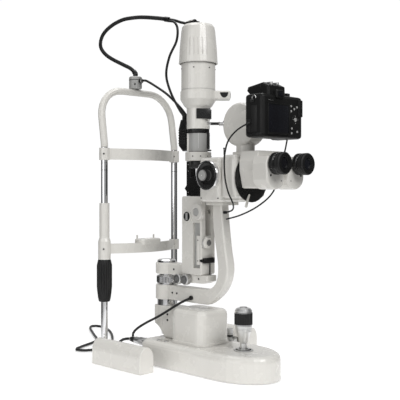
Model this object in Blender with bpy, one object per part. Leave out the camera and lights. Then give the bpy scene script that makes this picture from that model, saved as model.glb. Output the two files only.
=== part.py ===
"""A slit lamp on its cross-slide base, with its headrest, rails and camera, at rest.

Metres. The origin is under the middle of the base, on the surface that everything stands on. +X is the
operator's right, +Y points at the patient and +Z is up. Each sub-part is one object, parented to the
empty of the body that it moves with, and that empty stands on the body's joint axis.
"""

import math

import bmesh
import bpy
from mathutils import Matrix, Vector

# Fits and facets
GAP = 0.0003  # between two pieces that touch
RUNNING = 0.0005  # between a shaft and its bore
ROUND_STEPS = 28
SMALL_STEPS = 18

# Base, tower and rails
BASE_HALF_WIDTH = 0.067
BASE_REAR_Y = 0.160
BASE_CORNER = 0.025
NOSE_Y = -0.0645
NOSE_REACH = 0.095
BASE_TOP = 0.050
BASE_WALL = 0.003
BASE_EDGE = 0.012
PLATE_THICKNESS = 0.004
TOWER_HALF_WIDTH = 0.043
TOWER_FRONT_Y = -0.008
TOWER_REAR_Y = 0.088
TOWER_TOP = 0.120
TOWER_WALL = 0.003
BRACKET_HALF_WIDTH = 0.020
BRACKET_TOP = 0.117
AXLE_Y = 0.120
AXLE_RADIUS = 0.005
WHEEL_RADIUS = 0.0135
WHEEL_WIDTH = 0.012
RAIL_TOP = 0.006
RAIL_LIFT = 0.0005
COVER_WIDTH = 0.0365
COVER_HEIGHT = 0.052
COVER_FRONT_Y = 0.065
COVER_REAR_Y = 0.219
COVER_WALL = 0.0025
COVER_SLOT_TOP = 0.030
LEFT_COVER_X = -0.1415
RIGHT_COVER_X = 0.1725
SOCKET_X = -0.040
SOCKET_Z = 0.038
SOCKET_RADIUS = 0.0075
SOCKET_END_Y = 0.196
STAGE_KNOB_RADIUS = 0.006
STAGE_KNOB_PLACE = (TOWER_HALF_WIDTH + STAGE_KNOB_RADIUS + 0.0035, 0.004)
STAGE_KNOB_HEIGHT = 0.026

# Joystick
STICK_Y = -0.080
STICK_NECK = 0.0072
STICK_HOLE = 0.016
STICK_CONE_TOP = 0.0994
STICK_CONE_RADIUS = 0.0168
GRIP_RADIUS = 0.0178
GRIP_HEIGHT = 0.0252
CAP_HEIGHT = 0.0088

# Column and the two arms on it
COLUMN_Y = 0.1413
SHAFT_RADIUS = 0.012
SHAFT_BOTTOM = BASE_TOP + 0.005
COLUMN_RADIUS = 0.016
COLUMN_FLANGE = 0.020
COLUMN_TOP = 0.2143
HUB_RADIUS = 0.0235
SCOPE_ARM_LOW = 0.130
SCOPE_ARM_HIGH = 0.161
SCOPE_ARM_HALF_WIDTH = 0.011
SCOPE_ARM_TOP = 0.3387
LAMP_ARM_LOW = 0.184
LAMP_ARM_HIGH = 0.208
LAMP_ARM_HALF_WIDTH = 0.014

# Illumination
LAMP_Y = 0.045
POST_HALF_WIDTH = 0.020
POST_FRONT_Y = 0.0165
POST_REAR_Y = 0.0735
POST_FOOT = 0.1895
POST_TOP = 0.350
PRISM_TOP = 0.4225
COLLAR_TOP = 0.441
COLLAR_RADIUS = 0.027
BARREL_TOP = 0.488
BARREL_RADIUS = 0.0195
FLANGE_RADIUS = 0.023
NECK_RADIUS = 0.024
LAMP_RADIUS = 0.0352
LAMP_RING_RADIUS = 0.037
LAMP_TOP = 0.6225
HOOD_RADIUS = 0.040
HOOD_TOP = 0.7045
HOOD_WALL = 0.002
WHEEL_OFFSET = 0.0085
APERTURE_RADIUS = 0.0185
APERTURE_LOW = 0.509
APERTURE_HIGH = 0.529
LEVER_Z = 0.500
LEVER_REACH = 0.056
SLIT_KNOB_RADIUS = 0.0165
SLIT_KNOB_PLACE = (0.022, 0.3186)
CENTRING_KNOB_PLACE = (-0.008, 0.256)
CENTRING_KNOB_RADIUS = 0.012
LOCK_KNOB_RADIUS = 0.0105
LOCK_KNOB_Y = (0.0586, 0.0586 + 2 * LOCK_KNOB_RADIUS + 0.0014)
LOCK_KNOB_Z = POST_FOOT - LOCK_KNOB_RADIUS - 0.0005

# Microscope, binocular tubes and camera
SCOPE_HALF_WIDTH = 0.045
SCOPE_LOW = 0.339
SCOPE_HIGH = 0.427
SCOPE_FRONT_Y = -0.0003
SCOPE_REAR_Y = -0.060
SPLITTER_REAR_Y = -0.100
DRUM_Y = -0.030
DRUM_Z = 0.3915
DRUM_RADIUS = 0.029
FLANGE_DISC_RADIUS = 0.047
FLANGE_DISC_Z = 0.386
BINOCULAR_FRONT_Y = -0.106
BINOCULAR_REAR_Y = -0.150
HOUSE_REAR_Y = -0.186
HOUSE_RADIUS = 0.027
HOUSE_X = HOUSE_RADIUS + 0.0015
HOUSE_Z = 0.391
EYEPIECE_X = HOUSE_X + 0.0055
EYEPIECE_Z = 0.4116
EYEPIECE_RADIUS = 0.0203
EYEPIECE_END_Y = -0.2125
TUBE_Y = -0.0855
TUBE_RADIUS = 0.018
ELBOW_Z = 0.490
ELBOW_RADIUS = 0.0425
CAMERA_FRONT_Y = -0.1356
CAMERA_REAR_Y = -0.179
CAMERA_HALF_WIDTH = 0.059
CAMERA_LOW = 0.460
CAMERA_HIGH = 0.540
CAMERA_AXIS_Z = 0.498

# Headrest
ROD_X = 0.102
ROD_Y = 0.227
ROD_RADIUS = 0.0072
ROD_TOP = 0.455
LOOP_RADIUS = 0.0078
LOOP_TOP = 0.581
LOOP_CORNER = 0.060
LOOP_LEAN = 0.018
BAND_LOW = 0.427
BAND_HIGH = 0.453
BAND_BOW = 0.030
SLEEVE_RADIUS = 0.0134
SLEEVE_LOW = 0.2147
SLEEVE_TOP = 0.335
CHIN_LOW = 0.226
CHIN_HIGH = 0.249
CHIN_BOW = 0.034
HANDLE_LOW = 0.125
HANDLE_RADIUS = 0.0163
HOLDER_RADIUS = 0.0145
HOLDER_TOP = 0.617
NECK_TUBE_RADIUS = 0.0045

SLANT = Vector((1.0, -1.0, 0.0)).normalized()  # the way that the lamp's side box and lever point


def clear_scene():
    for old in list(bpy.data.objects):
        bpy.data.objects.remove(old, do_unlink=True)


def material(name, colour, roughness, metallic=0.0):
    made = bpy.data.materials.new(name)
    made.use_nodes = True
    shader = made.node_tree.nodes["Principled BSDF"]
    shader.inputs["Base Color"].default_value = (*colour, 1.0)
    shader.inputs["Roughness"].default_value = roughness
    shader.inputs["Metallic"].default_value = metallic
    return made


def world_place(thing):
    place = Vector()
    while thing:
        place += thing.location
        thing = thing.parent
    return place


def body(name, place, parent=None):
    """An empty on a joint's axis. What moves with the joint is parented to it."""
    empty = bpy.data.objects.new(name, None)
    bpy.context.collection.objects.link(empty)
    empty.parent = parent
    empty.location = Vector(place) - world_place(parent)
    return empty


# Shapes: each is a bmesh in the world's own coordinates.


def box(low, high, round_off=0.0, segments=2):
    low, high = Vector(low), Vector(high)
    shape = bmesh.new()
    scale = Matrix.Diagonal((*(high - low), 1.0))
    bmesh.ops.create_cube(shape, size=1.0, matrix=Matrix.Translation((low + high) / 2) @ scale)
    if round_off:
        edges = shape.edges[:]
        bmesh.ops.bevel(shape, geom=edges, offset=round_off, segments=segments, profile=0.5, affect="EDGES")
    return shape


AXIS_TURNS = {
    "X": Matrix.Rotation(math.pi / 2, 4, "Y"),
    "Y": Matrix.Rotation(-math.pi / 2, 4, "X"),
    "Z": Matrix.Identity(4),
}


def turned(profile, centre=(0.0, 0.0, 0.0), axis="Z", steps=ROUND_STEPS):
    """A profile of (radius, place along the axis) turned about an axis through the centre.

    One that starts off the axis is closed into a ring.
    """
    shape = bmesh.new()
    corners = [shape.verts.new((radius, 0.0, along)) for radius, along in profile]
    edges = [shape.edges.new(pair) for pair in zip(corners, corners[1:])]
    if profile[0][0] > 0.0:
        edges.append(shape.edges.new((corners[-1], corners[0])))
    bmesh.ops.spin(
        shape, geom=corners + edges, cent=(0, 0, 0), axis=(0, 0, 1), angle=2 * math.pi, steps=steps
    )
    bmesh.ops.remove_doubles(shape, verts=shape.verts[:], dist=1e-6)
    bmesh.ops.recalc_face_normals(shape, faces=shape.faces[:])
    bmesh.ops.transform(shape, matrix=Matrix.Translation(centre) @ AXIS_TURNS[axis], verts=shape.verts[:])
    return shape


def rod(radius, low, high, centre, axis="Z", chamfer=0.0, steps=SMALL_STEPS):
    """A round bar between two places along its axis."""
    profile = [(0.0, low), (radius - chamfer, low)]
    if chamfer:
        profile += [(radius, low + chamfer), (radius, high - chamfer)]
    profile += [(radius - chamfer, high), (0.0, high)]
    return turned(profile, centre, axis, steps)


def ball(radius, centre, steps=SMALL_STEPS):
    half_turn = [math.pi * k / 9 for k in range(10)]
    profile = [(radius * math.sin(turn), -radius * math.cos(turn)) for turn in half_turn]
    profile[0], profile[-1] = (0.0, -radius), (0.0, radius)
    return turned(profile, centre, "Z", steps)


PLANES = {"X": (1, 2, 0), "Y": (0, 2, 1), "Z": (0, 1, 2)}


def extruded(outline, axis, low, high, round_low=0.0, round_high=0.0, segments=2):
    """An outline pulled along an axis, with the edges of its end faces rounded."""
    across, up, along = PLANES[axis]
    shape = bmesh.new()

    def corner(point, distance):
        place = [0.0, 0.0, 0.0]
        place[across], place[up], place[along] = point[0], point[1], distance
        return place

    first = shape.faces.new([shape.verts.new(corner(point, low)) for point in outline])
    pulled = bmesh.ops.extrude_face_region(shape, geom=[first])
    moved = [item for item in pulled["geom"] if isinstance(item, bmesh.types.BMVert)]
    shift = Vector(corner((0.0, 0.0), high - low))
    bmesh.ops.translate(shape, vec=shift, verts=moved)
    bmesh.ops.recalc_face_normals(shape, faces=shape.faces[:])
    for distance, rounding in ((low, round_low), (high, round_high)):
        if rounding:
            rim = [e for e in shape.edges if all(abs(v.co[along] - distance) < 1e-7 for v in e.verts)]
            bmesh.ops.bevel(
                shape, geom=rim, offset=rounding, segments=segments, profile=0.5, affect="EDGES"
            )
    return shape


def arc(centre, radius, start, end, pieces):
    """Points on an arc, from one angle to another in degrees."""
    angles = [math.radians(start + (end - start) * k / pieces) for k in range(pieces + 1)]
    return [(centre[0] + radius * math.cos(a), centre[1] + radius * math.sin(a)) for a in angles]


def filleted(corners, radius, pieces=4):
    """A closed outline with every corner rounded."""
    outline = []
    count = len(corners)
    for k, corner in enumerate(corners):
        here = Vector(corner)
        back = (Vector(corners[k - 1]) - here).normalized()
        ahead = (Vector(corners[(k + 1) % count]) - here).normalized()
        half = back.angle(ahead) / 2
        centre = here + (back + ahead).normalized() * radius / math.sin(half)
        start = here + back * radius / math.tan(half) - centre
        end = here + ahead * radius / math.tan(half) - centre
        first = math.degrees(math.atan2(start.y, start.x))
        sweep = (math.degrees(math.atan2(end.y, end.x)) - first + 180.0) % 360.0 - 180.0
        outline += arc(centre, radius, first, first + sweep, pieces)
    return outline


def rectangle(low, high):
    return [(low[0], low[1]), (high[0], low[1]), (high[0], high[1]), (low[0], high[1])]


def smooth_route(points, spacing):
    """Evenly spaced points on a smooth curve through the given ones."""
    knots = [Vector(point) for point in points]
    knots = [2 * knots[0] - knots[1], *knots, 2 * knots[-1] - knots[-2]]
    fine = []
    for a, b, c, d in zip(knots, knots[1:], knots[2:], knots[3:]):
        for step in range(16):
            t = step / 16
            curve = 2 * b + (c - a) * t + (2 * a - 5 * b + 4 * c - d) * t**2 + (3 * b - a - 3 * c + d) * t**3
            fine.append(curve / 2)
    fine.append(knots[-2])
    lengths = [(q - p).length for p, q in zip(fine, fine[1:])]
    count = max(2, round(sum(lengths) / spacing))
    route, walked, index = [fine[0]], 0.0, 0
    for k in range(1, count):
        target = sum(lengths) * k / count
        while walked + lengths[index] < target:
            walked += lengths[index]
            index += 1
        route.append(fine[index].lerp(fine[index + 1], (target - walked) / lengths[index]))
    return [*route, fine[-1]]


def slanted(shape):
    """Turns a shape that was drawn along +X from the lamp's axis to point along SLANT."""
    centre = Vector((0.0, LAMP_Y, 0.0))
    turn = Matrix.Rotation(math.atan2(SLANT.y, SLANT.x), 4, "Z")
    bmesh.ops.transform(shape, matrix=Matrix.Translation(centre) @ turn, verts=shape.verts[:])
    return shape


# Objects


def place_shape(name, shape, owner):
    mesh = bpy.data.meshes.new(name)
    bmesh.ops.translate(shape, vec=-world_place(owner), verts=shape.verts[:])
    shape.to_mesh(mesh)
    shape.free()
    mesh.shade_smooth()
    mesh.set_sharp_from_angle(angle=math.radians(32))
    made = bpy.data.objects.new(name, mesh)
    bpy.context.collection.objects.link(made)
    made.parent = owner
    return made


def piece(name, owner, look, shape, joined=(), cut=()):
    """One sub-part: a shape, what is joined to it and what is cut from it."""
    made = place_shape(name, shape, owner)
    made.data.materials.append(look)
    for operation, tools in (("UNION", joined), ("DIFFERENCE", cut)):
        for number, tool in enumerate(tools):
            helper = place_shape(f"{name}_{operation.lower()}_{number}", tool, owner)
            helper.hide_render = True
            helper.display_type = "WIRE"
            modifier = made.modifiers.new(f"{operation.lower()} {number}", "BOOLEAN")
            modifier.operation = operation
            modifier.object = helper
    return made


def tube(name, owner, look, route, radius, sides=2):
    """A round tube along a route: a bent frame, a hose or a lead."""
    curve = bpy.data.curves.new(name, "CURVE")
    curve.dimensions = "3D"
    curve.bevel_depth = radius
    curve.bevel_resolution = sides
    curve.use_fill_caps = True
    start = world_place(owner)
    spline = curve.splines.new("POLY")
    spline.points.add(len(route) - 1)
    for point, place in zip(spline.points, route):
        point.co = (*(Vector(place) - start), 1.0)
    curve.materials.append(look)
    made = bpy.data.objects.new(name, curve)
    bpy.context.collection.objects.link(made)
    made.parent = owner
    return made


# Headrest


def band_outline(bow, depth):
    """A strip that bows towards the operator between the two rods."""
    count = 14
    places = [-ROD_X + 2 * ROD_X * k / count for k in range(count + 1)]
    line = [(x, ROD_Y - bow * (1 - (x / ROD_X) ** 2) - ROD_RADIUS * 0.2) for x in places]
    return [(x, y - depth / 2) for x, y in line] + [(x, y + depth / 2) for x, y in reversed(line)]


def build_headrest(root, looks):
    for side, x in (("left", -ROD_X), ("right", ROD_X)):
        shaft = rod(ROD_RADIUS, 0.0, ROD_TOP, (x, ROD_Y, 0.0), chamfer=0.0008)
        piece(f"headrest_rod_{side}", root, looks["chrome"], shaft)
    foot = ROD_TOP + GAP
    left = arc((-ROD_X + LOOP_CORNER, LOOP_TOP - LOOP_CORNER), LOOP_CORNER, 180, 90, 7)
    right = arc((ROD_X - LOOP_CORNER, LOOP_TOP - LOOP_CORNER), LOOP_CORNER, 90, 0, 7)
    upright = foot + 0.006
    outline = [(-ROD_X, foot), (-ROD_X, upright), *left, *right, (ROD_X, upright), (ROD_X, foot)]
    lean = LOOP_LEAN / (LOOP_TOP - upright)
    route = [(x, ROD_Y + lean * max(0.0, z - upright), z) for x, z in outline]
    tube("headrest_loop", root, looks["white"], route, LOOP_RADIUS, sides=3)
    clips = [
        turned(
            [(ROD_RADIUS + RUNNING / 2, BAND_LOW), (0.0112, BAND_LOW), (0.0112, BAND_HIGH),
             (ROD_RADIUS + RUNNING / 2, BAND_HIGH)],
            (x, ROD_Y, 0.0), steps=SMALL_STEPS,
        )
        for x in (-ROD_X, ROD_X)
    ]
    bores = [
        rod(ROD_RADIUS + RUNNING / 2, BAND_LOW - 0.01, BAND_HIGH + 0.01, (x, ROD_Y, 0.0))
        for x in (-ROD_X, ROD_X)
    ]
    strip = extruded(band_outline(BAND_BOW, 0.0036), "Z", BAND_LOW + 0.001, BAND_HIGH - 0.001)
    piece("brow_band", root, looks["white"], strip, joined=clips, cut=bores)


def build_fixation(root, looks):
    lean = LOOP_LEAN
    arm = body("fixation_arm", (0.0, ROD_Y + lean, LOOP_TOP + LOOP_RADIUS), root)
    low = LOOP_TOP + LOOP_RADIUS + GAP
    holder = rod(HOLDER_RADIUS, low, HOLDER_TOP, (0.0, ROD_Y + lean, 0.0), chamfer=0.002, steps=ROUND_STEPS)
    gland = rod(0.0048, ROD_Y - 0.004, ROD_Y + lean, (0.0, 0.0, 0.606), "Y")
    piece("fixation_holder", arm, looks["grey"], holder, joined=[gland])
    through = [
        (0.0, 0.245, HOLDER_TOP + 0.0022), (0.0, 0.2465, 0.6255), (0.0, 0.262, 0.6375), (0.0, 0.288, 0.649), (0.0, 0.329, 0.667),
        (0.0, 0.355, 0.682), (0.0, 0.371, 0.699), (0.0, 0.371, 0.716), (0.0, 0.358, 0.732),
        (0.0, 0.329, 0.745), (0.0, 0.291, 0.752), (0.0, 0.255, 0.751), (0.0, 0.220, 0.747),
        (0.0, 0.169, 0.737), (0.0, 0.134, 0.7285),
    ]
    tube("fixation_gooseneck", arm, looks["rubber"], smooth_route(through, 0.013), NECK_TUBE_RADIUS)


def build_chin_rest(root, looks):
    carrier = body("chin_carrier", (-ROD_X, ROD_Y, SLEEVE_LOW), root)
    bore = ROD_RADIUS + RUNNING / 2
    sleeve = turned(
        [(bore, SLEEVE_LOW), (SLEEVE_RADIUS, SLEEVE_LOW), (SLEEVE_RADIUS, CHIN_HIGH + 0.004),
         (0.0108, CHIN_HIGH + 0.012), (0.0108, SLEEVE_TOP), (bore, SLEEVE_TOP)],
        (-ROD_X, ROD_Y, 0.0), steps=SMALL_STEPS,
    )
    ring = turned(
        [(bore, CHIN_LOW), (0.0112, CHIN_LOW), (0.0112, CHIN_HIGH), (bore, CHIN_HIGH)],
        (ROD_X, ROD_Y, 0.0), steps=SMALL_STEPS,
    )
    bar = extruded(band_outline(CHIN_BOW, 0.006), "Z", CHIN_LOW + 0.001, CHIN_HIGH - 0.001)
    cup_y = ROD_Y - CHIN_BOW
    cup = extruded(
        filleted(rectangle((-0.030, cup_y - 0.006), (0.030, cup_y + 0.026)), 0.012),
        "Z", CHIN_HIGH - 0.006, CHIN_HIGH + 0.007, round_high=0.003,
    )
    pins = [rod(0.0018, CHIN_HIGH, CHIN_HIGH + 0.015, (x, cup_y + 0.018, 0.0), steps=10) for x in (-0.024, 0.024)]
    hollow = turned(
        [(0.0, 0.0), (0.006, 0.0012), (0.012, 0.005), (0.0165, 0.012), (0.018, 0.020), (0.0, 0.020)],
        (0.0, cup_y + 0.010, CHIN_HIGH + 0.002), steps=SMALL_STEPS,
    )
    bores = [rod(bore, CHIN_LOW - 0.02, SLEEVE_TOP + 0.01, (x, ROD_Y, 0.0)) for x in (-ROD_X, ROD_X)]
    piece("chin_rest", carrier, looks["white"], bar, joined=[sleeve, ring, cup, *pins], cut=[hollow, *bores])
    handle_body = body("chin_handle_axis", (-ROD_X, ROD_Y, HANDLE_LOW), carrier)
    top = SLEEVE_LOW - GAP
    grip = turned(
        [(bore, HANDLE_LOW), (0.0118, HANDLE_LOW), (0.0135, HANDLE_LOW + 0.006), (HANDLE_RADIUS, HANDLE_LOW + 0.030),
         (HANDLE_RADIUS, top - 0.010), (0.0140, top - 0.002), (0.0132, top), (bore, top)],
        (-ROD_X, ROD_Y, 0.0),
    )
    piece("chin_handle", handle_body, looks["rubber"], grip)


# Rails, axle and base


def arch_outline(low_x, width, height, inset, foot):
    """The end of a rail cover: straight sides under a half ellipse."""
    middle = low_x + width / 2
    half = width / 2 - inset
    spring = height * 0.56
    rise = height - inset - spring
    turns = [math.pi * k / 12 for k in range(13)]
    top = [(middle + half * math.cos(turn), spring + rise * math.sin(turn)) for turn in turns]
    return [(middle - half, foot), (middle + half, foot), *top]


def build_rails(root, looks):
    for side, low_x, inner in (("left", LEFT_COVER_X, 1), ("right", RIGHT_COVER_X, -1)):
        shell = extruded(
            arch_outline(low_x, COVER_WIDTH, COVER_HEIGHT, 0.0, 0.0), "Y", COVER_FRONT_Y, COVER_REAR_Y,
            round_low=0.0012, round_high=0.0012, segments=1,
        )
        hollow = extruded(
            arch_outline(low_x, COVER_WIDTH, COVER_HEIGHT, COVER_WALL, -0.01), "Y",
            COVER_FRONT_Y + COVER_WALL, COVER_REAR_Y - COVER_WALL,
        )
        inner_x = low_x + COVER_WIDTH if inner > 0 else low_x
        slot = box(
            (inner_x - 0.006, COVER_FRONT_Y + COVER_WALL, -0.01),
            (inner_x + 0.006, COVER_REAR_Y - COVER_WALL, COVER_SLOT_TOP),
        )
        piece(f"rail_cover_{side}", root, looks["white"], shell, cut=[hollow, slot])
        track = box(
            (low_x + COVER_WIDTH / 2 - 0.008, COVER_FRONT_Y + COVER_WALL + 0.002, 0.0),
            (low_x + COVER_WIDTH / 2 + 0.008, COVER_REAR_Y - COVER_WALL - 0.002, RAIL_TOP),
        )
        piece(f"guide_rail_{side}", root, looks["steel"], track)


def build_axle(root, looks):
    height = RAIL_TOP + RAIL_LIFT + WHEEL_RADIUS
    axle = body("axle_carriage", (0.0, AXLE_Y, height), root)
    ends = [low_x + COVER_WIDTH / 2 for low_x in (LEFT_COVER_X, RIGHT_COVER_X)]
    reach = WHEEL_WIDTH / 2 + 0.003
    shaft = rod(
        AXLE_RADIUS, ends[0] - reach, ends[1] + reach, (0.0, AXLE_Y, height), "X", chamfer=0.001, steps=ROUND_STEPS
    )
    piece("cross_axle", axle, looks["steel"], shaft)
    for side, x in zip(("left", "right"), ends):
        wheel_body = body(f"track_wheel_axis_{side}", (x, AXLE_Y, height), axle)
        bore = AXLE_RADIUS + RUNNING
        low, high = x - WHEEL_WIDTH / 2, x + WHEEL_WIDTH / 2
        wheel = turned(
            [(bore, low), (WHEEL_RADIUS - 0.001, low), (WHEEL_RADIUS, low + 0.001), (WHEEL_RADIUS, high - 0.001),
             (WHEEL_RADIUS - 0.001, high), (bore, high)],
            (0.0, AXLE_Y, height), "X",
        )
        piece(f"track_wheel_{side}", wheel_body, looks["steel"], wheel)
    return axle, height


def base_outline(inset):
    """A half ellipse for the nose, straight sides and two round rear corners."""
    half = BASE_HALF_WIDTH - inset
    reach = NOSE_REACH - inset
    rear = BASE_REAR_Y - inset
    corner = BASE_CORNER - inset
    turns = [math.pi + math.pi * k / 20 for k in range(21)]
    nose = [(half * math.cos(turn), NOSE_Y + reach * math.sin(turn)) for turn in turns]
    right = arc((half - corner, rear - corner), corner, 0, 90, 5)
    left = arc((corner - half, rear - corner), corner, 90, 180, 5)
    return [*nose, *right, *left]


def build_base(axle, axle_height, looks):
    base = body("base", (0.0, 0.0, 0.0), axle)
    shell = extruded(
        base_outline(0.0), "Z", 0.0008, BASE_TOP, round_high=BASE_EDGE, segments=4
    )
    hollow = extruded(
        base_outline(BASE_WALL), "Z", -0.01, BASE_TOP - BASE_WALL, round_high=BASE_EDGE - BASE_WALL, segments=3
    )
    stick_hole = rod(STICK_HOLE, BASE_TOP - 0.01, BASE_TOP + 0.01, (0.0, STICK_Y, 0.0), steps=ROUND_STEPS)
    axle_hole = rod(
        AXLE_RADIUS + 0.0015, -BASE_HALF_WIDTH - 0.01, BASE_HALF_WIDTH + 0.01, (0.0, AXLE_Y, axle_height), "X"
    )
    piece("base_housing", base, looks["white"], shell, cut=[hollow, stick_hole, axle_hole])
    plate = extruded(base_outline(BASE_WALL + GAP), "Z", 0.0, PLATE_THICKNESS)
    piece("base_plate", base, looks["grey"], plate)

    foot = BASE_TOP + GAP
    tower_low = (-TOWER_HALF_WIDTH, TOWER_FRONT_Y)
    tower_high = (TOWER_HALF_WIDTH, TOWER_REAR_Y)
    tower = extruded(
        filleted(rectangle(tower_low, tower_high), 0.020, 5), "Z", foot, TOWER_TOP, round_high=0.012, segments=4
    )
    plinth = extruded(
        filleted(rectangle((tower_low[0] - 0.002, tower_low[1] - 0.002), (tower_high[0] + 0.002, tower_high[1])),
                 0.021, 5),
        "Z", foot, foot + 0.006, round_high=0.001, segments=1,
    )
    inner_low = (tower_low[0] + TOWER_WALL, tower_low[1] + TOWER_WALL)
    inner_high = (tower_high[0] - TOWER_WALL, tower_high[1] - TOWER_WALL)
    inside = extruded(
        filleted(rectangle(inner_low, inner_high), 0.017, 5), "Z", foot - 0.01, TOWER_TOP - TOWER_WALL,
        round_high=0.009, segments=2,
    )
    front = TOWER_REAR_Y - TOWER_WALL / 2
    side_view = [
        (front, foot), (0.128, foot), (0.146, 0.070), (COLUMN_Y + BRACKET_HALF_WIDTH - 0.001, 0.078),
        (COLUMN_Y + BRACKET_HALF_WIDTH - 0.001, BRACKET_TOP), (front, BRACKET_TOP),
    ]
    bracket = extruded(
        side_view, "X", -BRACKET_HALF_WIDTH + 0.001, BRACKET_HALF_WIDTH - 0.001, round_low=0.003, round_high=0.003
    )
    boss = rod(BRACKET_HALF_WIDTH, 0.074, BRACKET_TOP, (0.0, COLUMN_Y, 0.0), steps=ROUND_STEPS)
    bore = rod(SHAFT_RADIUS + RUNNING, foot - 0.005, BRACKET_TOP + 0.01, (0.0, COLUMN_Y, 0.0), steps=ROUND_STEPS)
    piece("tower_cover", base, looks["white"], tower, joined=[plinth, bracket, boss], cut=[inside, bore])

    start = BASE_REAR_Y + GAP
    socket = turned(
        [(0.0, start), (SOCKET_RADIUS + 0.002, start), (SOCKET_RADIUS + 0.002, start + 0.003),
         (SOCKET_RADIUS, start + 0.004), (SOCKET_RADIUS, SOCKET_END_Y), (0.0055, SOCKET_END_Y + 0.003),
         (0.0048, 0.214), (0.0, 0.214)],
        (SOCKET_X, 0.0, SOCKET_Z), "Y", steps=SMALL_STEPS,
    )
    piece("base_socket", base, looks["steel"], socket)

    knob_body = body("stage_lock_axis", (*STAGE_KNOB_PLACE, foot), base)
    top = foot + STAGE_KNOB_HEIGHT
    knob = turned(
        [(0.0, foot), (0.0042, foot), (0.0042, foot + 0.006), (STAGE_KNOB_RADIUS, foot + 0.008),
         (STAGE_KNOB_RADIUS, top - 0.001), (STAGE_KNOB_RADIUS - 0.001, top), (0.0, top)],
        (*STAGE_KNOB_PLACE, 0.0), steps=SMALL_STEPS,
    )
    piece("stage_lock_knob", knob_body, looks["grey"], knob)
    return base


def build_joystick(base, looks):
    pivot = (0.0, STICK_Y, BASE_TOP)
    fore_aft = body("joystick_fore_aft", pivot, base)
    bore = STICK_NECK + 0.0018
    ring = turned(
        [(bore, BASE_TOP - 0.004), (0.0125, BASE_TOP - 0.004), (0.0125, BASE_TOP + 0.004), (bore, BASE_TOP + 0.004)],
        (0.0, STICK_Y, 0.0),
    )
    piece("joystick_gimbal", fore_aft, looks["steel"], ring)
    sideways = body("joystick_sideways", pivot, fore_aft)
    stem = turned(
        [(0.0, BASE_TOP - 0.020), (STICK_NECK, BASE_TOP - 0.020), (STICK_NECK, BASE_TOP + 0.014),
         (0.0085, BASE_TOP + 0.017), (0.0112, BASE_TOP + 0.026), (0.0142, BASE_TOP + 0.037),
         (STICK_CONE_RADIUS, STICK_CONE_TOP - 0.002), (STICK_CONE_RADIUS, STICK_CONE_TOP), (0.0, STICK_CONE_TOP)],
        (0.0, STICK_Y, 0.0),
    )
    piece("joystick_stem", sideways, looks["chrome"], stem)
    low = STICK_CONE_TOP + GAP
    twist = body("joystick_grip_axis", (0.0, STICK_Y, low), sideways)
    top = low + GRIP_HEIGHT
    grip = rod(GRIP_RADIUS, low, top, (0.0, STICK_Y, 0.0), chamfer=0.0012, steps=ROUND_STEPS)
    piece("joystick_grip", twist, looks["rubber"], grip)
    foot = top + GAP
    cap = turned(
        [(0.0, foot), (GRIP_RADIUS - 0.001, foot), (GRIP_RADIUS - 0.001, foot + 0.003),
         (GRIP_RADIUS - 0.004, foot + CAP_HEIGHT - 0.002), (GRIP_RADIUS - 0.009, foot + CAP_HEIGHT - 0.0004),
         (0.0, foot + CAP_HEIGHT)],
        (0.0, STICK_Y, 0.0),
    )
    piece("joystick_cap", twist, looks["chrome"], cap)


def build_column(base, looks):
    column = body("lift", (0.0, COLUMN_Y, BRACKET_TOP), base)
    low = BRACKET_TOP + GAP
    profile = [
        (0.0, SHAFT_BOTTOM), (SHAFT_RADIUS, SHAFT_BOTTOM), (SHAFT_RADIUS, low), (COLUMN_FLANGE, low),
        (COLUMN_FLANGE, SCOPE_ARM_LOW - GAP), (COLUMN_RADIUS, SCOPE_ARM_LOW - GAP),
        (COLUMN_RADIUS, SCOPE_ARM_HIGH + 0.002), (COLUMN_FLANGE + 0.001, SCOPE_ARM_HIGH + 0.003),
        (COLUMN_FLANGE + 0.001, LAMP_ARM_LOW - 0.004), (COLUMN_RADIUS, LAMP_ARM_LOW - 0.003),
        (COLUMN_RADIUS, LAMP_ARM_HIGH + GAP), (COLUMN_FLANGE, LAMP_ARM_HIGH + GAP),
        (COLUMN_FLANGE, COLUMN_TOP - 0.002), (COLUMN_FLANGE - 0.003, COLUMN_TOP), (0.0, COLUMN_TOP),
    ]
    piece("lift_column", column, looks["chrome"], turned(profile, (0.0, COLUMN_Y, 0.0)))
    return column


# Illumination


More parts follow.
